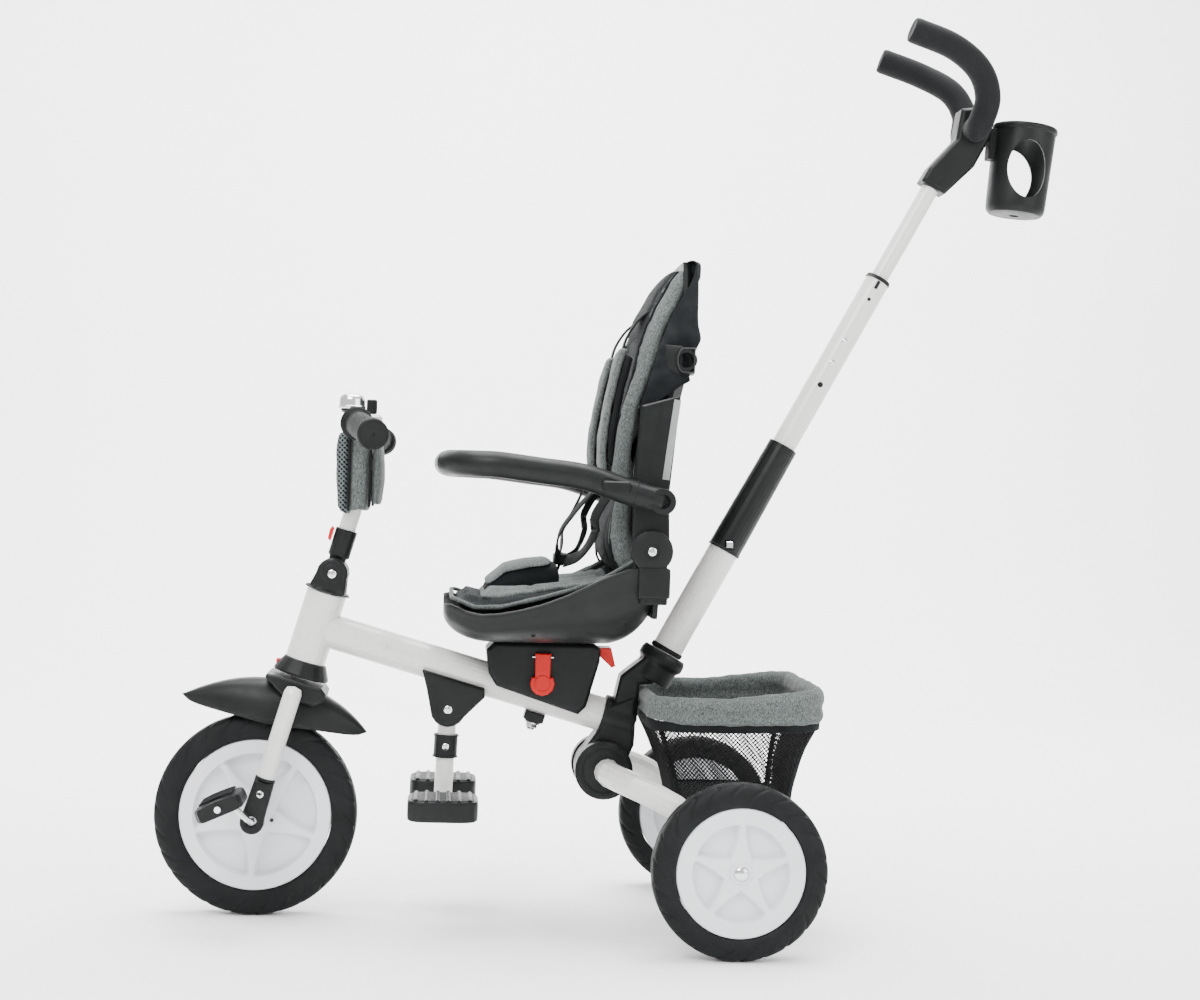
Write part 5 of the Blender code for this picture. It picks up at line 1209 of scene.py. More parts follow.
PAD_EDGE = [(-0.2400, 0.4180), (-0.2656, 0.4085), (-0.2958, 0.4095), (-0.3438, 0.4215), (-0.3763, 0.4310),
            (-0.4161, 0.4445), (-0.4399, 0.4590),
            (-0.4580, 0.4700)]


def pad_height(x, y, half):
    """Top of the seat pad: low in the middle, riding up the bucket's sides."""
    edge = between(PAD_EDGE, x)
    bowl = 0.4090 + 0.0080 * step(x, -0.275, -0.240) + 0.0060 * step(-x, 0.40, 0.455)
    return bowl + (edge - bowl) * (abs(y) / half) ** 2.4


def make_seat_pads():
    """The seat's black base pad, its grey liner, and the raised pad between the legs."""
    places = np.linspace(-0.2390, -0.4600, 40)
    rows = []
    for x in places:
        end = min((places[0] - x), (x - places[-1])) / 0.020
        close = math.sqrt(max(0.0, 1.0 - (1.0 - min(1.0, end)) ** 2))
        half = 0.1340 * (1.0 - 0.10 * step(x, -0.285, -0.239)) - 0.006 * (1.0 - close)
        section = []
        for t in np.linspace(0.0, 2.0 * math.pi, 64, endpoint=False):
            c, s = math.cos(t), math.sin(t)
            y = math.copysign(abs(c) ** 0.6, c) * half
            thick = 0.0075 * (0.25 + 0.75 * close)
            section.append(at(x, y, pad_height(x, y, 0.1340) - 0.0060 + math.copysign(abs(s) ** 0.75,
                                                                                      s) * thick))
        rows.append(section)
    base = surface("seat_pad", rows, "cloth", "seat")
    inflate(base, 0.0045, 4.0, 0.005)
    wobble(base, 0.0012, 38.0, 1.0)
    subdivide(base)
    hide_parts("seat_cushion")
    edge = []
    for x, y in rim_walk(-0.2375, -0.4560, 0.1345, 0.034, 150):
        edge.append(at(x, y, pad_height(x, y, 0.1340) - 0.0050))
    piping = sweep("seat_piping", edge, 0.0027, "melange", "seat", 12, 0.002)
    wobble(piping, 0.0008, 60.0, 2.0)

    rows = []
    places = np.linspace(-0.2680, -0.4480, 34)
    for x in places:
        end = min((places[0] - x), (x - places[-1])) / 0.018
        close = math.sqrt(max(0.0, 1.0 - (1.0 - min(1.0, end)) ** 2))
        half = 0.1120 - 0.020 * (1.0 - close)
        section = []
        for t in np.linspace(0.0, 2.0 * math.pi, 56, endpoint=False):
            c, s = math.cos(t), math.sin(t)
            y = math.copysign(abs(c) ** 0.6, c) * half
            lift = 0.0090 + 0.0050 * (abs(y) / 0.112) ** 3
            section.append(at(x, y, pad_height(x, y, 0.1340) + lift - 0.0040 + math.copysign(abs(s) ** 0.75,
                                                                                             s) * 0.0070 * (0.3 + 0.7 * close)))
        rows.append(section)
    liner = surface("seat_liner", rows, "melange", "seat")
    inflate(liner, 0.0045, 4.0, 0.005)
    quilt(liner, "top")
    subdivide(liner)

    def wedge(name, x0, x1, half, base_z, tops, material, grow=0.0):
        rows = []
        stations = np.linspace(x0, x1, 26)
        for x in stations:
            end = min(abs(x - x0), abs(x - x1)) / 0.012
            close = math.sqrt(max(0.0, 1.0 - (1.0 - min(1.0, end)) ** 2))
            top = between(tops, x)
            section = []
            for t in np.linspace(0.0, 2.0 * math.pi, 48, endpoint=False):
                c, s = math.cos(t), math.sin(t)
                y = math.copysign(abs(c) ** 0.45, c) * (half + grow) * (0.80 + 0.20 * close)
                mid, tall = 0.5 * (top + base_z), 0.5 * (top - base_z) * (0.55 + 0.45 * close)
                section.append(at(x, y, mid + math.copysign(abs(s) ** 0.5,
                                                            s) * tall + 0.0015 * (1.0 - (y / half) ** 2)))
            rows.append(section)
        return surface(name, rows, material, "seat")
    tops = [(-0.2770, 0.4270), (-0.2873, 0.4345), (-0.3029, 0.4480), (-0.3300, 0.4545), (-0.3526, 0.4575),
            (-0.3720, 0.4560)]
    body = wedge("leg_pad", -0.2780, -0.3720, 0.0520, 0.4120, tops, "cloth")
    inflate(body, 0.0045, 4.0, 0.004)
    subdivide(body)
    rows = []
    for x in np.linspace(-0.2800, -0.3600, 30):
        end = min(abs(x + 0.2800), abs(x + 0.3600)) / 0.012
        close = math.sqrt(max(0.0, 1.0 - (1.0 - min(1.0, end)) ** 2))
        section = []
        for t in np.linspace(0.0, 2.0 * math.pi, 48, endpoint=False):
            c, s = math.cos(t), math.sin(t)
            y = math.copysign(abs(c) ** 0.5, c) * 0.0525 * (0.86 + 0.14 * close)
            fall = -0.0060 * (abs(y) / 0.0525) ** 6
            section.append(at(x, y, between(tops, x) + 0.0020 + fall + math.copysign(abs(s) ** 0.7,
                                                                                     s) * 0.0034 * (0.4 + 0.6 * close)))
        rows.append(section)
    top = surface("leg_pad_cover", rows, "melange", "seat")
    wobble(top, 0.0009, 50.0, 6.0)


def rim_walk(front, rear, half, corner, count):
    """Plan of a pad's edge: up one side, round the front and back down the other."""
    points = [(rear, half), (front - corner, half)]
    for a in np.radians(np.linspace(90.0, 0.0, 14)):
        points.append((front - corner + corner * math.cos(a), half - corner + corner * math.sin(a)))
    points += [(x, -y) for x, y in reversed(points)]
    points = np.array(points)
    lengths = np.r_[0.0, np.cumsum(np.linalg.norm(np.diff(points, axis=0), axis=1))]
    wanted = np.linspace(0.0, lengths[-1], count)
    return np.stack([np.interp(wanted, lengths, points[:, k]) for k in range(2)], axis=1)


def quilt(obj, face):
    """Presses sewn channels into a pad, deepest on its seen face."""
    for vert in obj.data.vertices:
        x, y, z = vert.co
        if face == "top":
            seam = min(abs(abs(y) - 0.078), abs((x - AXLE.x) + 0.330 + 0.4 * y * y))
            push = Vector((0.0, 0.0, -1.0))
            facing = max(0.0, vert.normal.z)
        else:
            seam = min(abs(abs(y) - 0.060), abs(z - 0.560), abs(z - 0.640), abs(z - 0.720))
            push = Vector((-1.0, 0.0, 0.0))
            facing = max(0.0, vert.normal.x)
        vert.co += push * 0.0028 * facing * math.exp(-(seam / 0.0028) ** 2)
    obj.data.update()


# ---------------------------------------------------------------- back
BAND_FRONT = [(0.8340, -0.5215), (0.8219, -0.5185), (0.8119, -0.5126), (0.7993, -0.5042), (0.7880, -0.4945),
              (0.7763, -0.4790), (0.7551, -0.4662),
              (0.7279, -0.4573), (0.6868, -0.4488), (0.6382, -0.4358), (0.5746, -0.4293), (0.5400,
                                                                                           -0.4350), (0.5200,
                                                                                                      -0.4310), (0.4900, -0.4290),
              (0.4600, -0.4330), (0.4400, -0.4450)]
BAND_REAR = [(0.8340, -0.5275), (0.8195, -0.5248), (0.8058, -0.5190), (0.7902, -0.5092), (0.7596, -0.4933),
             (0.7410, -0.4860), (0.7091, -0.4763),
             (0.6510, -0.4590), (0.5693, -0.4515), (0.5300, -0.4520), (0.4900, -0.4540), (0.4400, -0.4600)]
FACE_LINE = [(0.8340, -0.5180), (0.8308, -0.5135), (0.8266, -0.5067), (0.8064, -0.4921), (0.7901, -0.4840),
             (0.7733, -0.4745), (0.7578, -0.4690),
             (0.7371, -0.4650), (0.6900, -0.4590), (0.6300, -0.4520), (0.5700, -0.4480), (0.5346,
                                                                                          -0.4430), (0.5133,
                                                                                                     -0.4330), (0.4885, -0.4290),
             (0.4640, -0.4315), (0.4457, -0.4400), (0.4400, -0.4480)]


def back_half(z):
    t = (z - 0.4900) / 0.3460
    return 0.1330 * (1.0 - 0.30 * max(0.0, (t - 0.60) / 0.40) ** 1.6) - 0.0015


def make_back_pad():
    """The padded back: a hollow middle between two grey side bolsters, black over the face."""
    heights = np.linspace(0.4410, 0.8330, 72)
    rows = []
    for z in heights:
        end = min(z - heights[0], heights[-1] - z) / 0.020
        close = math.sqrt(max(0.0, 1.0 - (1.0 - min(1.0, end)) ** 2))
        half = back_half(z) * (0.90 + 0.10 * close)
        front, rear, face = between(BAND_FRONT, z), between(BAND_REAR, z), between(FACE_LINE, z)
        inner = max(rear, min(rear, face - 0.0120))
        wing = max(front, face)
        guide = [(inner, 0.0), (inner, 0.55 * half), (inner, 0.85 * half), (rear, 0.965 * half),
                 (0.6 * rear + 0.4 * wing, half), (wing - 0.0035, 0.985 * half),
                 (wing, 0.93 * half), (wing - 0.0050, 0.86 * half), (face + 0.0015, 0.74 * half), (face,
                                                                                                   0.5 * half), (face + 0.0015, 0.25 * half),
                 (face + 0.0020, 0.0)]
        mid = 0.5 * (wing + rear)
        side = smooth_curve([(mid + (x - mid) * (0.35 + 0.65 * close), y) for x, y in guide], 40)
        full = [*side, *[(x, -y) for x, y in side[::-1][1:-1]]]
        rows.append([at(x, y, z) for x, y in full])
    pad = surface("back_pad", rows, "melange", "seat_back")
    inflate(pad, 0.0048, 4.0, 0.0045)
    quilt(pad, "front")
    pad.data.materials.append(MAT["cloth"])
    for polygon in pad.data.polygons:
        spot = polygon.center
        if abs(spot.y) < 0.80 * back_half(spot.z) and polygon.normal.x > 0.15:
            polygon.material_index = 1
    subdivide(pad)
    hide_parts("back_cushion")
    bend(pad)
    for side, sign in (("left", 1.0), ("right", -1.0)):
        path = []
        for z in np.linspace(0.4560, 0.8240, 90):
            path.append(at(max(between(BAND_FRONT, z), between(FACE_LINE, z)) + 0.0006,
                           sign * back_half(z) * 0.885, z))
        seam = sweep("back_piping_" + side, path, 0.0016, "lining", "seat_back", 10, 0.0015)
        bend(seam)


def make_head_pad():
    """A black pillow at the top of the back, where the head rests."""
    rows = []
    heights = np.linspace(0.7350, 0.8318, 34)
    for z in heights:
        end = min(z - heights[0], heights[-1] - z) / 0.018
        close = math.sqrt(max(0.0, 1.0 - (1.0 - min(1.0, end)) ** 2))
        face = between(FACE_LINE, z) + 0.0010
        row = []
        for t in np.linspace(0.0, 2.0 * math.pi, 56, endpoint=False):
            c, s = math.cos(t), math.sin(t)
            half = 0.80 * back_half(z) * (0.84 + 0.16 * close)
            thick = (0.0040 + 0.0062 * close) if c > 0.0 else 0.0050 * close + 0.001
            row.append(at(face - 0.0040 + math.copysign(abs(c) ** 0.7, c) * thick,
                          math.copysign(abs(s) ** 0.7, s) * half, z))
        rows.append(row)
    pad = surface("head_pad", rows, "cloth", "seat_back")
    inflate(pad, 0.0045, 4.0, 0.004)
    subdivide(pad)


def make_back_cover():
    """Thin black cloth drawn over the top of the back shell, gathered round the canopy sockets."""
    rows = []
    for share in np.linspace(0.0, 1.0, 60):
        row = []
        for around in np.linspace(-1.0, 1.0, 121):
            side = abs(around)
            corner = step(side, 0.66, 0.84)
            foot = 0.6900 - 0.0380 * step(side, 0.70, 1.0)
            z = foot + (0.8345 - foot) * min(1.0, share / 0.86)
            over = max(0.0, (share - 0.86) / 0.14)
            rear, half = back_rear(z), back_half(z) + 0.0030
            band = between(BAND_REAR, z)
            if side < 0.75:
                x, y = rear - 0.0015 - 0.0020 * (1.0 - (side / 0.75) ** 2), half * (side / 0.75) ** 1.05 * 0.975
            else:
                run = (side - 0.75) / 0.25
                x, y = rear - 0.0015 + (band + 0.0030 - rear) * run, half * (0.975 + 0.025 * math.sin(math.pi * min(1.0, run * 2.0) * 0.5))
            near = math.hypot((x + 0.5113) / 0.030, (z - 0.7105) / 0.032)
            pull = 0.0030 * math.exp(-(near - 1.0) ** 2 / 0.10) * (1.0 if side > 0.55 else 0.0)
            fold = 0.0020 * math.sin(34.0 * math.atan2(z - 0.7105,
                                                       x + 0.5113 + 1e-9) * 0.35 + 2.0) * math.exp(-abs(near - 1.4) / 0.9)
            crease = 0.0016 * noise.noise(Vector((x * 40.0, y * 12.0, z * 22.0)))
            out = pull + (fold if side > 0.55 else 0.0) + crease
            sign = math.copysign(1.0, around)
            crown = between(FACE_LINE, 0.8300) - 0.0010
            x += (crown - x) * over
            z += 0.0032 * math.sin(math.pi * min(1.0, over * 0.9 + 0.1)) * (1.0 if over > 0.0 else 0.0)
            row.append(at(x - out * (1.0 - corner) * (1.0 - over), sign * (y + out * corner), z))
        rows.append(row)
    rows = np.array(rows)
    cover = surface("back_cover", rows, "cloth", "seat_back", wrap_columns=False, caps=False)
    thick = cover.modifiers.new("Thickness", "SOLIDIFY")
    thick.thickness = 0.0012
    thick.offset = 0.0
    subdivide(cover)
    sweep("cover_hem_foot", rows[0], 0.0016, "lining", "seat_back", 10, 0.0014)
    crown = pillow("back_crown", at(-0.5365, -0.0905, 0.8130), at(-0.5150, 0.0905, 0.8410), "cloth",
                   "seat_back", 0.5, 0.001, 26, 0.0008)


def back_rear(z):
    t = (z - 0.4900) / 0.3460
    return -0.4790 - 0.0480 * min(1.0, t / 0.72) ** 1.3


def make_canopy_sockets():
    """Flat-backed sockets for a canopy, with a painted highlight: a pale grey ring along the rim."""
    centre_x, centre_z = -0.5112, 0.7106
    outline = []
    for a in np.radians(np.linspace(80.0, -80.0, 25)):
        outline.append((0.0035 + 0.0090 * math.cos(a) - 0.0015, 0.0158 * math.sin(a)))
    outline += [(-0.0100, -0.0158), (-0.0115, -0.0143), (-0.0115, 0.0143), (-0.0100, 0.0158)]
    outline = np.array(outline)
    for side, sign in (("left", 1.0), ("right", -1.0)):
        rows = []
        for y, grow in ((0.1240, 1.10), (0.1380, 1.06), (0.1430, 1.0), (0.1446, 0.97), (0.1446, 0.86),
                        (0.1436, 0.82), (0.1300, 0.78), (0.1296, 0.02)):
            rows.append([at(centre_x + grow * x, sign * y, centre_z + grow * z) for x, z in outline])
        surface("canopy_socket_" + side, rows, "black", "seat_back", sharp=40.0)
        # Painted highlight: a thin grey ring on the socket's face along its rim, in place of the light its edge
        # catches.
        path = [at(centre_x + 0.92 * x, sign * 0.1448, centre_z + 0.92 * z) for x,
                z in [*outline, outline[0]]]
        sweep("socket_painted_highlight_" + side, path, 0.0009, "grey", "seat_back", 8)
        shroud = []
        for share in np.linspace(0.0, 1.0, 14):
            cx = centre_x + 0.0040 + 0.0270 * share
            tall, deep = 0.0180 - 0.0030 * share, 0.1405 - 0.0085 * share ** 1.5
            row = []
            for t in np.linspace(0.0, 2.0 * math.pi, 40, endpoint=False):
                row.append(at(cx, sign * (0.1270 + (deep - 0.1270) * (0.5 + 0.5 * math.copysign(abs(math.cos(t)) ** 0.5, math.cos(t)))),
                              centre_z + 0.0050 * share + tall * math.copysign(abs(math.sin(t)) ** 0.7,
                                                                               math.sin(t))))
            shroud.append(row)
        surface("socket_shroud_" + side, shroud, "dull", "seat_back", sharp=60.0)


def make_columns():
    """A groove down each upright of the back, and the pale strip along its rear edge."""
    for side, sign in (("left", 1.0), ("right", -1.0)):
        face = sign * 0.1509
        for name, line, width, thick, material in (
                ("groove", ((-0.4700, 0.5700), (-0.4750, 0.6050), (-0.4830, 0.6520)), 0.0022, 0.0010, "dull"),
                ("strip", ((-0.4905, 0.5650), (-0.4950, 0.6050), (-0.5020, 0.6620)), 0.0085, 0.0016,
                 "strip")):
            path = smooth_curve([at(x, face, z) for x, z in line], 30)
            ribbon(f"column_{name}_{side}", path, width, (0.0, sign, 0.0), thick, material, "seat_back")


def make_harness():
    """Shoulder pads and webbing of a five-point harness, meeting at a buckle."""
    front = smooth_curve([(-0.4420, 0.7285), (-0.4335, 0.7245), (-0.4285, 0.7087), (-0.4222, 0.6812),
                          (-0.4169, 0.6526), (-0.4124, 0.6190),
                          (-0.4122, 0.5837), (-0.4165, 0.5660)], 44)
    for side, sign in (("left", 1.0), ("right", -1.0)):
        for layer, (shift, deep, material, low) in {"pad": (0.0, 0.0050, "melange", 44),
                                                    "lining": (-0.0105, 0.0052, "lining", 41)}.items():
            rows = []
            tangents = np.gradient(front, axis=0)
            for i in range(low):
                x, z = front[i]
                tx, tz = tangents[i] / np.linalg.norm(tangents[i])
                nx, nz = -tz, tx
                end = min(i, low - 1 - i) / 5.0
                close = math.sqrt(max(0.0, 1.0 - (1.0 - min(1.0, end)) ** 2))
                cy = sign * (0.0800 + 0.0080 * i / 44)
                row = []
                for t in np.linspace(0.0, 2.0 * math.pi, 36, endpoint=False):
                    c, s = math.cos(t), math.sin(t)
                    a = math.copysign(abs(c) ** 0.7, c) * deep * (0.25 + 0.75 * close) - deep + shift
                    b = math.copysign(abs(s) ** 0.55, s) * 0.0260 * (0.80 + 0.20 * close)
                    row.append(at(x + nx * a, cy + b, z + nz * a))
                rows.append(row)
            pad = surface(f"shoulder_{layer}_{side}", rows, material, "seat_back")
            wobble(pad, 0.0014, 48.0, 3.0 + sign)
        path = smooth_curve([at(-0.4380, sign * 0.0790, 0.7180), at(-0.4440, sign * 0.0785, 0.7400),
                             at(-0.4560, sign * 0.0775, 0.7600), at(-0.4700, sign * 0.0765, 0.7720),
                             at(-0.4790, sign * 0.0760, 0.7700)], 30)
        ribbon("shoulder_strap_" + side, path, 0.0240, (1.0, 0.0, 0.3), 0.0026, "webbing", "seat_back")
        down = smooth_curve([at(-0.4165, sign * 0.0870, 0.5720), at(-0.4080, sign * 0.0850, 0.5500),
                             at(-0.3880 if sign > 0 else -0.3960, sign * 0.0740, 0.5240),
                             at(-0.3705 if sign > 0 else -0.3810, sign * 0.0560,
                                0.4960), at(-0.3680 if sign > 0 else -0.3780, sign * 0.0340, 0.4740),
                             at(-0.3730, sign * 0.0160, 0.4600)], 60)
        strap = ribbon("chest_strap_" + side, down, 0.0130, (0.9, sign * 0.2, 0.4), 0.0022, "webbing",
                       "seat_back",
                       twist=lambda t, s=sign: (0.9, s * (0.10 + 0.20 * math.sin(math.pi * t)), 0.45))
        bend(strap)
        waist = smooth_curve([at(-0.4310, sign * 0.1030, 0.5480), at(-0.4232, sign * 0.1010, 0.5400),
                              at(-0.4150, sign * 0.0980, 0.5270), at(-0.4100, sign * 0.0940, 0.5140),
                              at(-0.4120, sign * 0.0860, 0.5000), at(-0.4050, sign * 0.0700,
                                                                     0.4810), at(-0.3950, sign * 0.0460,
                                                                                 0.4660), at(-0.3800,
                                                                                             sign * 0.0200, 0.4580)], 70)
        strap = ribbon("waist_strap_" + side, waist, 0.0170, (0.8, sign * 0.4, 0.3), 0.0024, "webbing",
                       "seat_back",
                       twist=lambda t, s=sign: (0.80, s * (0.35 + 0.25 * math.sin(5.0 * t)), 0.30))
        bend(strap)
        slider = make_slider("slider_" + side, at(-0.4108, sign * 0.0905, 0.5065), sign)
        bend(slider)
    pillow("buckle", at(-0.3860, -0.0200, 0.4530), at(-0.3660, 0.0200, 0.4680), "dull", "seat", 0.3)
    pillow("buckle_button", at(-0.3785, -0.0075, 0.4640), at(-0.3700, 0.0075, 0.4692), "black", "seat", 0.3)
    path = smooth_curve([at(-0.3640, 0.0, 0.4180), at(-0.3700, 0.0, 0.4400), at(-0.3750, 0.0, 0.4560)], 16)
    ribbon("crotch_strap", path, 0.0240, (1.0, 0.0, 0.2), 0.0024, "webbing", "seat")


def make_slider(name, centre, sign):
    """A three-bar strap adjuster."""
    across, along = Vector((0.30, -0.9 * sign, 0.05)).normalized(), Vector((-0.15, 0.1 * sign,
                                                                            -1.0)).normalized()
    verts, faces = [], []
    for offset in (-0.0070, 0.0, 0.0070):
        path = [centre + along * offset + across * a for a in np.linspace(-0.0095, 0.0095, 6)]
        add_tube(verts, faces, path, 0.0017)
    for offset in (-0.0095, 0.0095):
        path = [centre + across * offset + along * a for a in np.linspace(-0.0075, 0.0075, 6)]
        add_tube(verts, faces, path, 0.0020)
    return piece(name, verts, faces, "dull", "seat_back")


def add_tube(verts, faces, path, radius, sides=10):
    us, vs = carried(path)[1:]
    start = len(verts)
    for point, u, v in zip(np.asarray(path, float), us, vs):
        verts.extend(ring(point, u, v, radius, sides))
    for i in range(len(path) - 1):
        for j in range(sides):
            k = (j + 1) % sides
            faces.append((start + i * sides + j, start + i * sides + k, start + (i + 1) * sides + k,
                          start + (i + 1) * sides + j))
    faces.append(tuple(range(start, start + sides)))
    faces.append(tuple(range(start + (len(path) - 1) * sides, start + len(path) * sides)))


def make_safety_bar():
    """The padded bar round the child, its two pivots and the moulded line where the arms meet it."""
    y, corner = 0.1690, 0.062
    half = [(-0.4845, y, 0.5383), (-0.4400, y, 0.5500), (-0.3900, y, 0.5650), (-0.3380, y, 0.5710),
            (-0.2920, y, 0.5760)]
    for a in np.radians(np.linspace(78.0, 0.0, 11)):
        half.append((-0.2920 + corner * math.cos(a), y - corner + corner * math.sin(a),
                     0.5766 + 0.0010 * (90.0 - math.degrees(a)) / 90.0))
    path = smooth_curve([*half, (-0.2262, 0.0, 0.5780), *[(x, -v, z) for x, v, z in reversed(half)]], 260)
    path = [at(*p) for p in path]
    bar = sweep("safety_bar_look", path, 0.0158, "black", "guard_bar", 40)
    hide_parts("safety_bar")
    pivot = joint_place_of("safety_bar_lift")
    for side, sign in (("left", 1.0), ("right", -1.0)):
        inner = Vector((pivot.x, sign * 0.1560, pivot.z))
        lathe("bar_boss_" + side, [(0.0, 0.0), (0.0158, 0.0), (0.0160, 0.002), (0.0160, 0.0262),
                                   (0.0152, 0.0276), (0.0092, 0.0278), (0.0078, 0.0262),
                                   (0.0074, 0.0190), (0.0, 0.0190)], inner, (0.0, sign,
                                                                             0.0), "black", "guard_bar", 56, 40.0)
        for x, z, lean in ((-0.4520, 0.5470, 14.0),):
            t = Vector((math.cos(math.radians(lean)), 0.0, math.sin(math.radians(lean))))
            lathe(f"bar_seam_{side}_{int(-x * 1000)}", [(0.0155, -0.0012), (0.0161, -0.0006),
                                                        (0.0161, 0.0006), (0.0155, 0.0012)], at(x, sign * y,
                                                                                                z), t, "dull",
                  "guard_bar", 48, caps=False)
        button = middle("bar_button_" + side)
        lean = math.radians(15.0)
        frame_path = []
        for a in np.linspace(0.0, 2.0 * math.pi, 41):
            c, s = math.cos(a), math.sin(a)
            u = 0.0182 * math.copysign(abs(c) ** 0.3, c)
            v = 0.0068 * math.copysign(abs(s) ** 0.3, s)
            out = math.sqrt(max(0.0, 0.0158 ** 2 - v * v))
            frame_path.append(Vector((button.x + u * math.cos(lean) - v * math.sin(lean), sign * (y + out),
                                      button.z + u * math.sin(lean) + v * math.cos(lean))))
        sweep("button_outline_" + side, frame_path, 0.0007, "dull", "guard_bar", 8)


# ---------------------------------------------------------------- push handle
HANDLE_LEAN = math.radians(28.1)


def along_handle(s, forward=0.0, y=0.0):
    up = Vector((-math.sin(HANDLE_LEAN), 0.0, math.cos(HANDLE_LEAN)))
    ahead = Vector((math.cos(HANDLE_LEAN), 0.0, math.sin(HANDLE_LEAN)))
    return at(-0.5118, y, 0.3385) + up * s + ahead * forward


HANDLE_UP = (-math.sin(HANDLE_LEAN), 0.0, math.cos(HANDLE_LEAN))


def make_handle():
    """Foam arms, collars, height holes and the cup holder of the parent's handle."""
    for side, sign in (("left", 1.0), ("right", -1.0)):
        points = [(-0.8930, sign * 0.0194, 1.0320), (-0.8935, sign * 0.0400, 1.0350),
                  (-0.8985, sign * 0.0560, 1.0660), (-0.8830, sign * 0.0690, 1.0980),
                  (-0.8450, sign * 0.0840, 1.1220), (-0.7920, sign * 0.0870, 1.1400)]
        path = [at(*p) for p in smooth_curve(points, 90)]
        tangent = (path[-1] - path[-2]).normalized()
        arm = sweep("handle_arm_" + side, path, 0.0163, "foam", "handle_top", 40,
                    ripple=lambda t: 1.0 - 0.05 * step(t, 0.988, 1.0))
        end = path[-1]
        lathe("arm_end_" + side, [(0.0157, -0.0010), (0.0157, 0.0010), (0.0140, 0.0022), (0.0132, 0.0018),
                                  (0.0, 0.0016)], end, tangent, "foam", "handle_top", 40)
        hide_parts("handle_grip_" + side)
    lathe("handle_base_ring", [(0.0202, 0.0070), (0.0214, 0.0072), (0.0216, 0.0080), (0.0216, 0.0120),
                               (0.0212, 0.0128), (0.0202, 0.0130)],
          along_handle(0.0), HANDLE_UP, "dull", "push_handle", 56, caps=False)
    lathe("sleeve_lip_low", [(0.0214, 0.1572), (0.0222, 0.1576), (0.0224, 0.1590), (0.0218, 0.1602),
                             (0.0214, 0.1604)], along_handle(0.0), HANDLE_UP, "black",
          "push_handle", 56, caps=False)
    for number, (s, silver) in enumerate(((0.5320, False), (0.4695, True), (0.4370, True), (0.4045, False))):
        for side, sign in (("left", 1.0),):
            spot = along_handle(s, 0.0, sign * 0.0158)
            radius = 0.0024 if number == 0 else 0.0036
            if silver:
                lathe(f"height_pin_{number}", [(0.0040, -0.001), (0.0040, 0.0006), (0.0032, 0.0010),
                                               (0.0026, 0.0004), (0.0022, 0.0008), (0.0, 0.0014)],
                      spot, (0.0, sign, 0.0), "steel", "push_handle", 28)
            else:
                dot(f"height_hole_{number}", spot, (0.0, sign, 0.0), radius, "dull", "push_handle", 0.0004)
    slot = [along_handle(s, 0.0, 0.0164) for s in np.linspace(0.5480, 0.5590, 6)]
    ribbon("top_ring_tab", slot, 0.0040, (0.0, 1.0, 0.0), 0.0008, "dull", "push_handle")
    for number, (s, forward) in enumerate(((0.7120, -0.004),)):
        dot(f"head_mark_{number}", along_handle(s, forward, 0.0190), (0.0, 1.0, 0.0), 0.0026, "dull",
            "handle_top", 0.0006)
    make_cup_holder()


def make_cup_holder():
    lean = math.radians(5.7)
    bottom = at(-0.9542, 0.0, 0.9260)
    up = Vector((-math.sin(lean), 0.0, math.cos(lean)))
    radius, height, wall = 0.0415, 0.1160, 0.0025
    lower = radius - 0.0033
    profile = [(0.0060, 0.0020), (0.0066, 0.0), (lower - 0.012, 0.0), (lower - 0.0045, 0.0012),
               (lower - 0.0012, 0.0045), (lower, 0.0100)]
    for share in np.linspace(0.15, 0.93, 14):
        profile.append((lower + (radius - 0.001 - lower) * share, height * share))
    profile += [(radius + 0.0004, height - 0.0060), (radius + 0.0006, height - 0.0020),
                (radius - 0.0004, height), (radius - wall, height),
                (radius - wall - 0.0004, height - 0.0030)]
    for share in np.linspace(0.90, 0.12, 14):
        profile.append((lower - wall + (radius - 0.001 - lower) * share, height * share))
    profile += [(lower - wall - 0.003, 0.0040), (0.0060, 0.0030)]
    axis, u, v = basis(up)
    rows = [ring(bottom + axis * h, u, v, r, 112) for r, h in profile]
    cup = surface("cup_holder_look", rows, "black", "handle_top", wrap_rows=True, wrap_columns=True,
                  sharp=35.0)
    for sign in (1.0, -1.0):
        tool_rows = []
        for y in (0.0, sign * 0.06):
            tool_rows.append([bottom + up * 0.0565 + Vector((0.0250 * math.cos(a), y,
                                                             0.0370 * math.sin(a))) for a in np.linspace(0.0,
                                                                                                         2.0 * math.pi, 72, endpoint=False)])
        tool = surface("window_tool", tool_rows, "black", "handle_top")
        cut_out(cup, tool)
    edge = cup.modifiers.new("Edges", "BEVEL")
    edge.width = 0.0007
    edge.segments = 2
    edge.limit_method = "ANGLE"
    edge.angle_limit = math.radians(50.0)
    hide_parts("cup_holder")
    outline = [(-0.9150, 0.9980), (-0.9165, 1.0370), (-0.9290, 1.0385), (-0.9275, 0.9965)]
    rows = []
    for y, grow in ((-0.0105, 0.9), (-0.0095, 1.0), (0.0095, 1.0), (0.0105, 0.9)):
        cx, cz = -0.9220, 1.0175
        rows.append([at(cx + (x - cx) * grow, y, cz + (z - cz) * grow) for x, z in outline])
    surface("cup_bracket", rows, "dull", "handle_top", sharp=30.0)


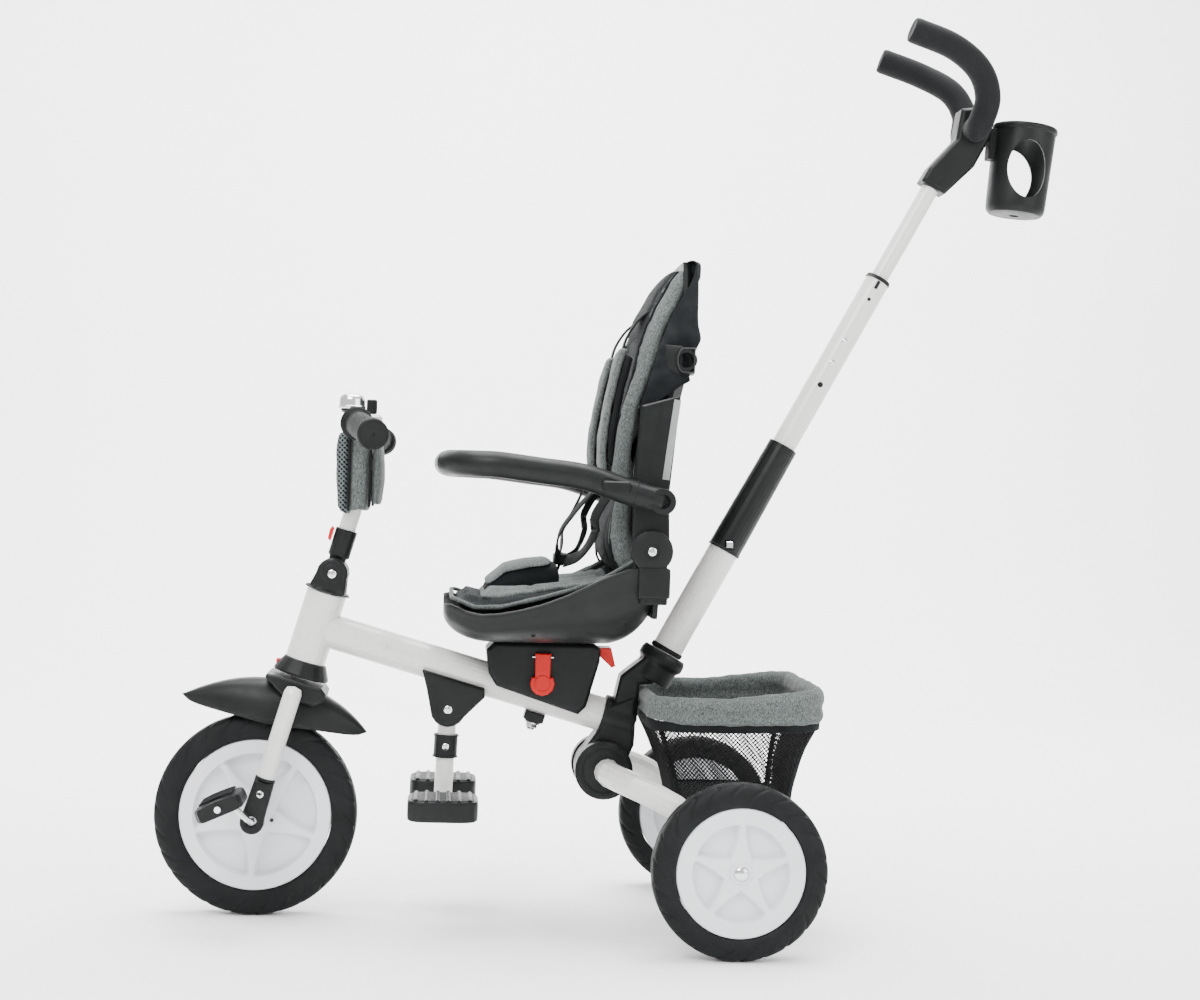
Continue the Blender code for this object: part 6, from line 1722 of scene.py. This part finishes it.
# ---------------------------------------------------------------- footrest and small hardware
def make_foot_details():
    pivot = joint_place_of("footrest_fold")
    for side, sign in (("left", 1.0), ("right", -1.0)):
        screw("footrest_screw_" + side, Vector((pivot.x, sign * 0.0300, pivot.z)), (0.0, sign, 0.0), 0.0050,
              "frame")
        low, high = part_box("foot_pad_" + side)
        body = side + "_foot_pad"
        centre = 0.5 * (low + high)
        length, width = high.x - low.x, high.y - low.y
        profile = [(0.30, low.z + 0.0002), (0.955, low.z), (0.990, low.z + 0.0012), (1.0, low.z + 0.0040),
                   (1.0, high.z - 0.0090),
                   (0.992, high.z - 0.0060), (0.970, high.z - 0.0048), (0.930, high.z - 0.0046), (0.30,
                                                                                                  high.z - 0.0046)]
        rows = []
        for grow, z in profile:
            row = []
            for a in np.linspace(0.0, 2.0 * math.pi, 96, endpoint=False):
                c, s = math.cos(a), math.sin(a)
                flute = 1.0 - 0.010 * (0.5 + 0.5 * math.cos(40.0 * a)) * (1.0 if low.z + 0.003 < z < high.z - 0.008 else 0.0)
                row.append((centre.x + 0.5 * length * grow * flute * math.copysign(abs(c) ** 0.42, c),
                            centre.y + 0.5 * width * grow * flute * math.copysign(abs(s) ** 0.42, s), z))
            rows.append(row)
        pad = surface("foot_pad_look_" + side, rows, "black", body, sharp=40.0)
        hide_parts("foot_pad_" + side)
        pillow("tread_" + side, (low.x + 0.0050, low.y + 0.0050, high.z - 0.0080),
               (high.x - 0.0050, high.y - 0.0050, high.z - 0.0028), "grey", body, 0.30)
        for number in range(6):
            x = low.x + length * (0.12 + 0.152 * number)
            reach = 0.5 * width * (0.93 if 0 < number < 5 else 0.80)
            path = [Vector((x, centre.y + y, high.z - 0.0043)) for y in np.linspace(-reach, reach, 14)]
            sweep(f"tread_rib_{side}_{number}", path, 0.0030, "black", body, 12, 0.0024, 0.9)
    low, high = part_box("footrest_sleeve")
    for sign in (1.0, -1.0):
        side = "left" if sign > 0 else "right"
        screw("sleeve_screw_" + side, Vector((0.5 * (low.x + high.x), sign * 0.0148,
                                              0.5 * (low.z + high.z))), (0.0, sign, 0.0), 0.0042, "footrest")
    for name, z in (("low", low.z + 0.001), ("top", high.z - 0.001)):
        lathe("sleeve_lip_" + name, [(0.0146, -0.0014), (0.0160, -0.0010), (0.0162, 0.0), (0.0160, 0.0010),
                                     (0.0146, 0.0014)],
              (0.5 * (low.x + high.x) + (0.0004 if name == "low" else -0.0004), 0.0, z), (-0.026, 0.0,
                                                                                          1.0), "black", "footrest", 40, caps=False)


def make_frame_details():
    slope = math.radians(15.6)
    down = Vector((math.sin(slope), 0.0, -math.cos(slope)))
    x = -0.3555
    line = 0.3047 + (x + 0.2840) * math.tan(slope)
    bolt = at(x, 0.0, line) + down * 0.0365
    lathe("stop_washer", [(0.0098, -0.0010), (0.0098, 0.0004), (0.0, 0.0004)], bolt, down, "steel", "frame",
          32)
    lathe("stop_nut", [(0.0074, 0.0), (0.0080, 0.0006), (0.0080, 0.0050), (0.0072, 0.0058), (0.0, 0.0058)],
          bolt, down, "steel", "frame", 6)
    lathe("stop_bolt_end", [(0.0046, 0.0), (0.0046, 0.0082), (0.0038, 0.0092), (0.0, 0.0092)], bolt, down,
          "steel", "frame", 24)
    low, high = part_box("seat_clamp_lever")
    pin = [Vector((px, 0.5 * (low.y + high.y), high.z - 0.0045)) for px in np.linspace(low.x - 0.0016 + 0.004, high.x + 0.0016 - 0.004, 8)]
    sweep("clamp_pin", pin, 0.0014, "steel", "seat_carriage", 12, 0.0008)
    path = [Vector((0.5 * (low.x + high.x) + dx, high.y + 0.0002, low.z + 0.0155 + dz)) for dx, dz in
            [(0.0098 * math.cos(a), 0.0098 * math.sin(a)) for a in np.linspace(0.0, 2.0 * math.pi, 41)]]
    sweep("clamp_ring", path, 0.0008, "red", "seat_clamp", 8)
    fold_low, fold_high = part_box("fold_hub")
    fold = joint_place_of("rear_wheels_fold")
    for side, sign in (("left", 1.0), ("right", -1.0)):
        face = fold_high.y if sign > 0 else fold_low.y
        lathe("fold_ring_" + side, [(0.0250, -0.0010), (0.0262, 0.0006), (0.0290, 0.0008),
                                    (0.0300, -0.0010)], Vector((fold.x, face, fold.z)), (0.0, sign, 0.0),
              "dull", "rear_legs", 64, caps=False)


# ---------------------------------------------------------------- stage, light and camera
def make_stage():
    """A pale floor that curves up into a backdrop."""
    material, tree, shader = new_material("studio_paper")
    vector = coordinates(tree)
    cloud = noise_node(tree, vector, 1.5)
    link(tree, ramp(tree, cloud, [(0.3, (0.93, 0.93, 0.928)), (0.7, (0.95, 0.95, 0.948))]),
         shader.inputs["Base Color"])
    shader.inputs["Roughness"].default_value = 0.7
    line = [(4.0, -0.0002)]
    line += [(-2.2 - 1.4 * math.sin(a), 1.4 - 1.4 * math.cos(a) - 0.0002) for a in np.linspace(0.0,
                                                                                               0.5 * math.pi, 24)]
    line += [(-3.6, 5.0)]
    verts, faces = [], []
    for y, z in line:
        verts += [(-7.0, y, z), (7.0, y, z)]
    for i in range(len(line) - 1):
        faces.append((2 * i, 2 * i + 1, 2 * i + 3, 2 * i + 2))
    mesh = bpy.data.meshes.new("backdrop")
    mesh.from_pydata(verts, [], faces)
    mesh.materials.append(material)
    floor = bpy.data.objects.new("backdrop", mesh)
    for polygon in mesh.polygons:
        polygon.use_smooth = True
    bpy.context.scene.collection.objects.link(floor)


def area_light(name, place, target, size, power, colour=(1.0, 1.0, 1.0)):
    data = bpy.data.lights.new(name, "AREA")
    data.shape = "RECTANGLE"
    data.size, data.size_y = size
    data.energy = power
    data.color = colour
    lamp = bpy.data.objects.new(name, data)
    lamp.location = place
    lamp.rotation_euler = (Vector(target) - Vector(place)).to_track_quat("-Z", "Y").to_euler()
    bpy.context.scene.collection.objects.link(lamp)


def make_light():
    world = bpy.data.worlds.new("studio")
    world.use_nodes = True
    background = world.node_tree.nodes["Background"]
    background.inputs["Color"].default_value = (1.0, 1.0, 1.0, 1.0)
    background.inputs["Strength"].default_value = 1.15
    bpy.context.scene.world = world
    area_light("key", (1.4, 2.6, 2.8), (0.0, 0.0, 0.4), (2.2, 1.6), 150.0)
    area_light("fill", (-2.4, 2.2, 1.4), (0.0, 0.0, 0.5), (2.4, 2.0), 60.0)
    area_light("top", (0.0, -0.4, 3.4), (0.0, 0.0, 0.3), (3.0, 2.4), 300.0)
    area_light("backdrop_wash", (0.0, -1.2, 2.6), (0.0, -3.6, 1.2), (5.0, 1.2), 260.0)


def make_camera():
    yaw, pitch, roll = math.radians(4.69), math.radians(0.20), math.radians(1.87)
    forward = Vector((-math.sin(yaw) * math.cos(pitch), -math.cos(yaw) * math.cos(pitch), -math.sin(pitch)))
    right = Vector((-math.cos(yaw), math.sin(yaw), 0.0))
    up = right.cross(forward)
    turned_right = right * math.cos(roll) + up * math.sin(roll)
    turned_up = up * math.cos(roll) - right * math.sin(roll)
    data = bpy.data.cameras.new("camera")
    data.sensor_width = 36.0
    data.lens = 56.77
    camera = bpy.data.objects.new("camera", data)
    matrix = Matrix.Identity(4)
    for column, direction in enumerate((turned_right, turned_up, -forward)):
        for row in range(3):
            matrix[row][column] = direction[row]
    matrix.translation = Vector((0.215008, 2.424, 0.546))
    camera.matrix_world = matrix
    bpy.context.scene.collection.objects.link(camera)
    bpy.context.scene.camera = camera


make_camera()
dress_frame()
make_wheels()
make_mudguard()
make_fork_details()
make_pedals()
make_grips()
make_bell()
make_bar_bag()
make_stem_details()
plan, outward = make_basket_rim()
make_basket_net(plan, outward)
make_seat_shell()
make_seat_pads()
make_back_pad()
make_head_pad()
make_back_cover()
make_canopy_sockets()
make_columns()
make_harness()
make_safety_bar()
make_handle()
make_foot_details()
make_frame_details()
make_stage()
make_light()
